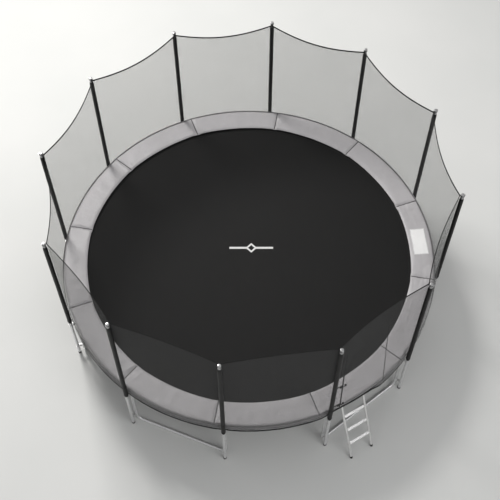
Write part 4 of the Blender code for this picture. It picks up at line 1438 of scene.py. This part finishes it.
def ladder_step(number):
    """A tread with ribs along its top, and a screw at each end."""
    points = [INTO @ p for p in cad_points(f"ladder_rung_{number}")]
    low, high = [Vector([pick(p[i] for p in points) for i in range(3)]) for pick in (min, max)]
    middle, half = (low + high) / 2, (high - low) / 2
    half.x *= 0.84
    ribs = 7
    outline = []
    for t in shares(ribs * 4):
        groove = 0.0011 * (1 - cos(tau * ribs * t)) / 2
        outline.append((half.x * 0.86 * (1 - 2 * t), half.z - groove))
    edge = [(0.97, 0.82), (1, 0.4), (1, -0.4), (0.9, -0.9), (0.75, -1)]
    outline += [(-half.x * a, half.z * b) for a, b in edge]
    outline += [(half.x * a, half.z * b) for a, b in reversed(edge)]
    shape = Shape().grid([[PLACE @ (middle + Vector((x, y, z))) for x, z in outline]
                          for y in (-half.y + 0.0004, half.y - 0.0004)])
    for sign in (-1, 1):
        spot = PLACE @ (middle + Vector((0, sign * (LADDER_HALF + LADDER_TUBE - 0.0005), 0)))
        out = (PLACE.to_3x3() @ Vector((0, sign, 0))).normalized()
        shape.grid(turned([(0.0058, 0), (0.0058, 0.0018), (0.0035, 0.0032), (0.0, 0.0034)], spot, out, 12), 1)
    return shape.make(f"ladder_step_{number}", "ladder", "ladder_steel", [LADDER_STEEL, BOLT_STEEL],
                      [f"ladder_rung_{number}"])


for name in ("left", "right"):
    ladder_side(name)
for number in (1, 2, 3):
    ladder_step(number)
print(f"ladder {2 * LADDER_HALF:.3f} m wide on the rail at {HINGE.z:.3f} m")

# %% [markdown]
# ## Floor, light and camera
#
# A plain pale floor and soft light let the finishes speak. One broad lamp above and behind
# gives the mat its faint gloss towards the viewer, a second fills from the front, and the
# world lights the rest. The camera looks down from well above the net.

# %% Stage
FLOOR_HALF = 30.0
LENS, SENSOR, FAR = 68.16, 36.0, 200.0
CAMERA_AT, CAMERA_TILT = (0.0134, -6.670, 11.5388), radians(32.42)
HORIZON, ZENITH, SKY_STRENGTH = grey(0.42), grey(1.0), 0.58
LAMP_AIM = (0, 0, 0.9)


def stage_floor():
    finish = Finish("pale_floor", Roughness=0.85)
    finish.set(Base_Color=finish.blend(finish.cloud(0.6, 3.0), (0.60, 0.61, 0.60), (0.68, 0.68, 0.67)))
    mesh = bpy.data.meshes.new("floor")
    corners = [(FLOOR_HALF * a, FLOOR_HALF * b, 0) for a, b in ((-1, -1), (1, -1), (1, 1), (-1, 1))]
    mesh.from_pydata(corners, [], [(0, 1, 2, 3)])
    mesh.materials.append(finish.material)
    floor = add_object("floor", mesh)


def lamp(name, place, size, power, tint=(1, 1, 1)):
    """A round area lamp that points at the trampoline."""
    data = bpy.data.lights.new(name, "AREA")
    data.shape, data.size, data.energy, data.color = "DISK", size, power, tint
    made = add_object(name, data)
    made.location = place
    made.rotation_euler = (Vector(LAMP_AIM) - Vector(place)).to_track_quat("-Z", "Y").to_euler()


def camera():
    data = bpy.data.cameras.new("camera")
    data.lens, data.sensor_width, data.clip_end = LENS, SENSOR, FAR
    made = add_object("camera", data)
    made.location = CAMERA_AT
    made.rotation_euler = (CAMERA_TILT, 0, 0)
    bpy.context.scene.camera = made


def soft_sky():
    """A world that brightens from the horizon up."""
    world = bpy.data.worlds.new("soft_sky")
    world.use_nodes = True
    nodes, links = world.node_tree.nodes, world.node_tree.links
    place, up = nodes.new("ShaderNodeTexCoord"), nodes.new("ShaderNodeSeparateXYZ")
    tint, background = nodes.new("ShaderNodeMix"), nodes["Background"]
    tint.data_type = "RGBA"
    tint.inputs[6].default_value = (*HORIZON, 1)
    tint.inputs[7].default_value = (*ZENITH, 1)
    links.new(place.outputs["Generated"], up.inputs[0])
    links.new(up.outputs[2], tint.inputs[0])
    links.new(tint.outputs[2], background.inputs["Color"])
    background.inputs["Strength"].default_value = SKY_STRENGTH
    bpy.context.scene.world = world


stage_floor()
soft_sky()
lamp("key", (-6.0, 7.5, 12.0), 4.0, 1900, (1.0, 0.985, 0.96))
lamp("fill", (6.0, -8.0, 9.0), 7.0, 350)
camera()
bpy.context.scene.view_settings.view_transform = "Standard"
print("stage, lamps and camera")
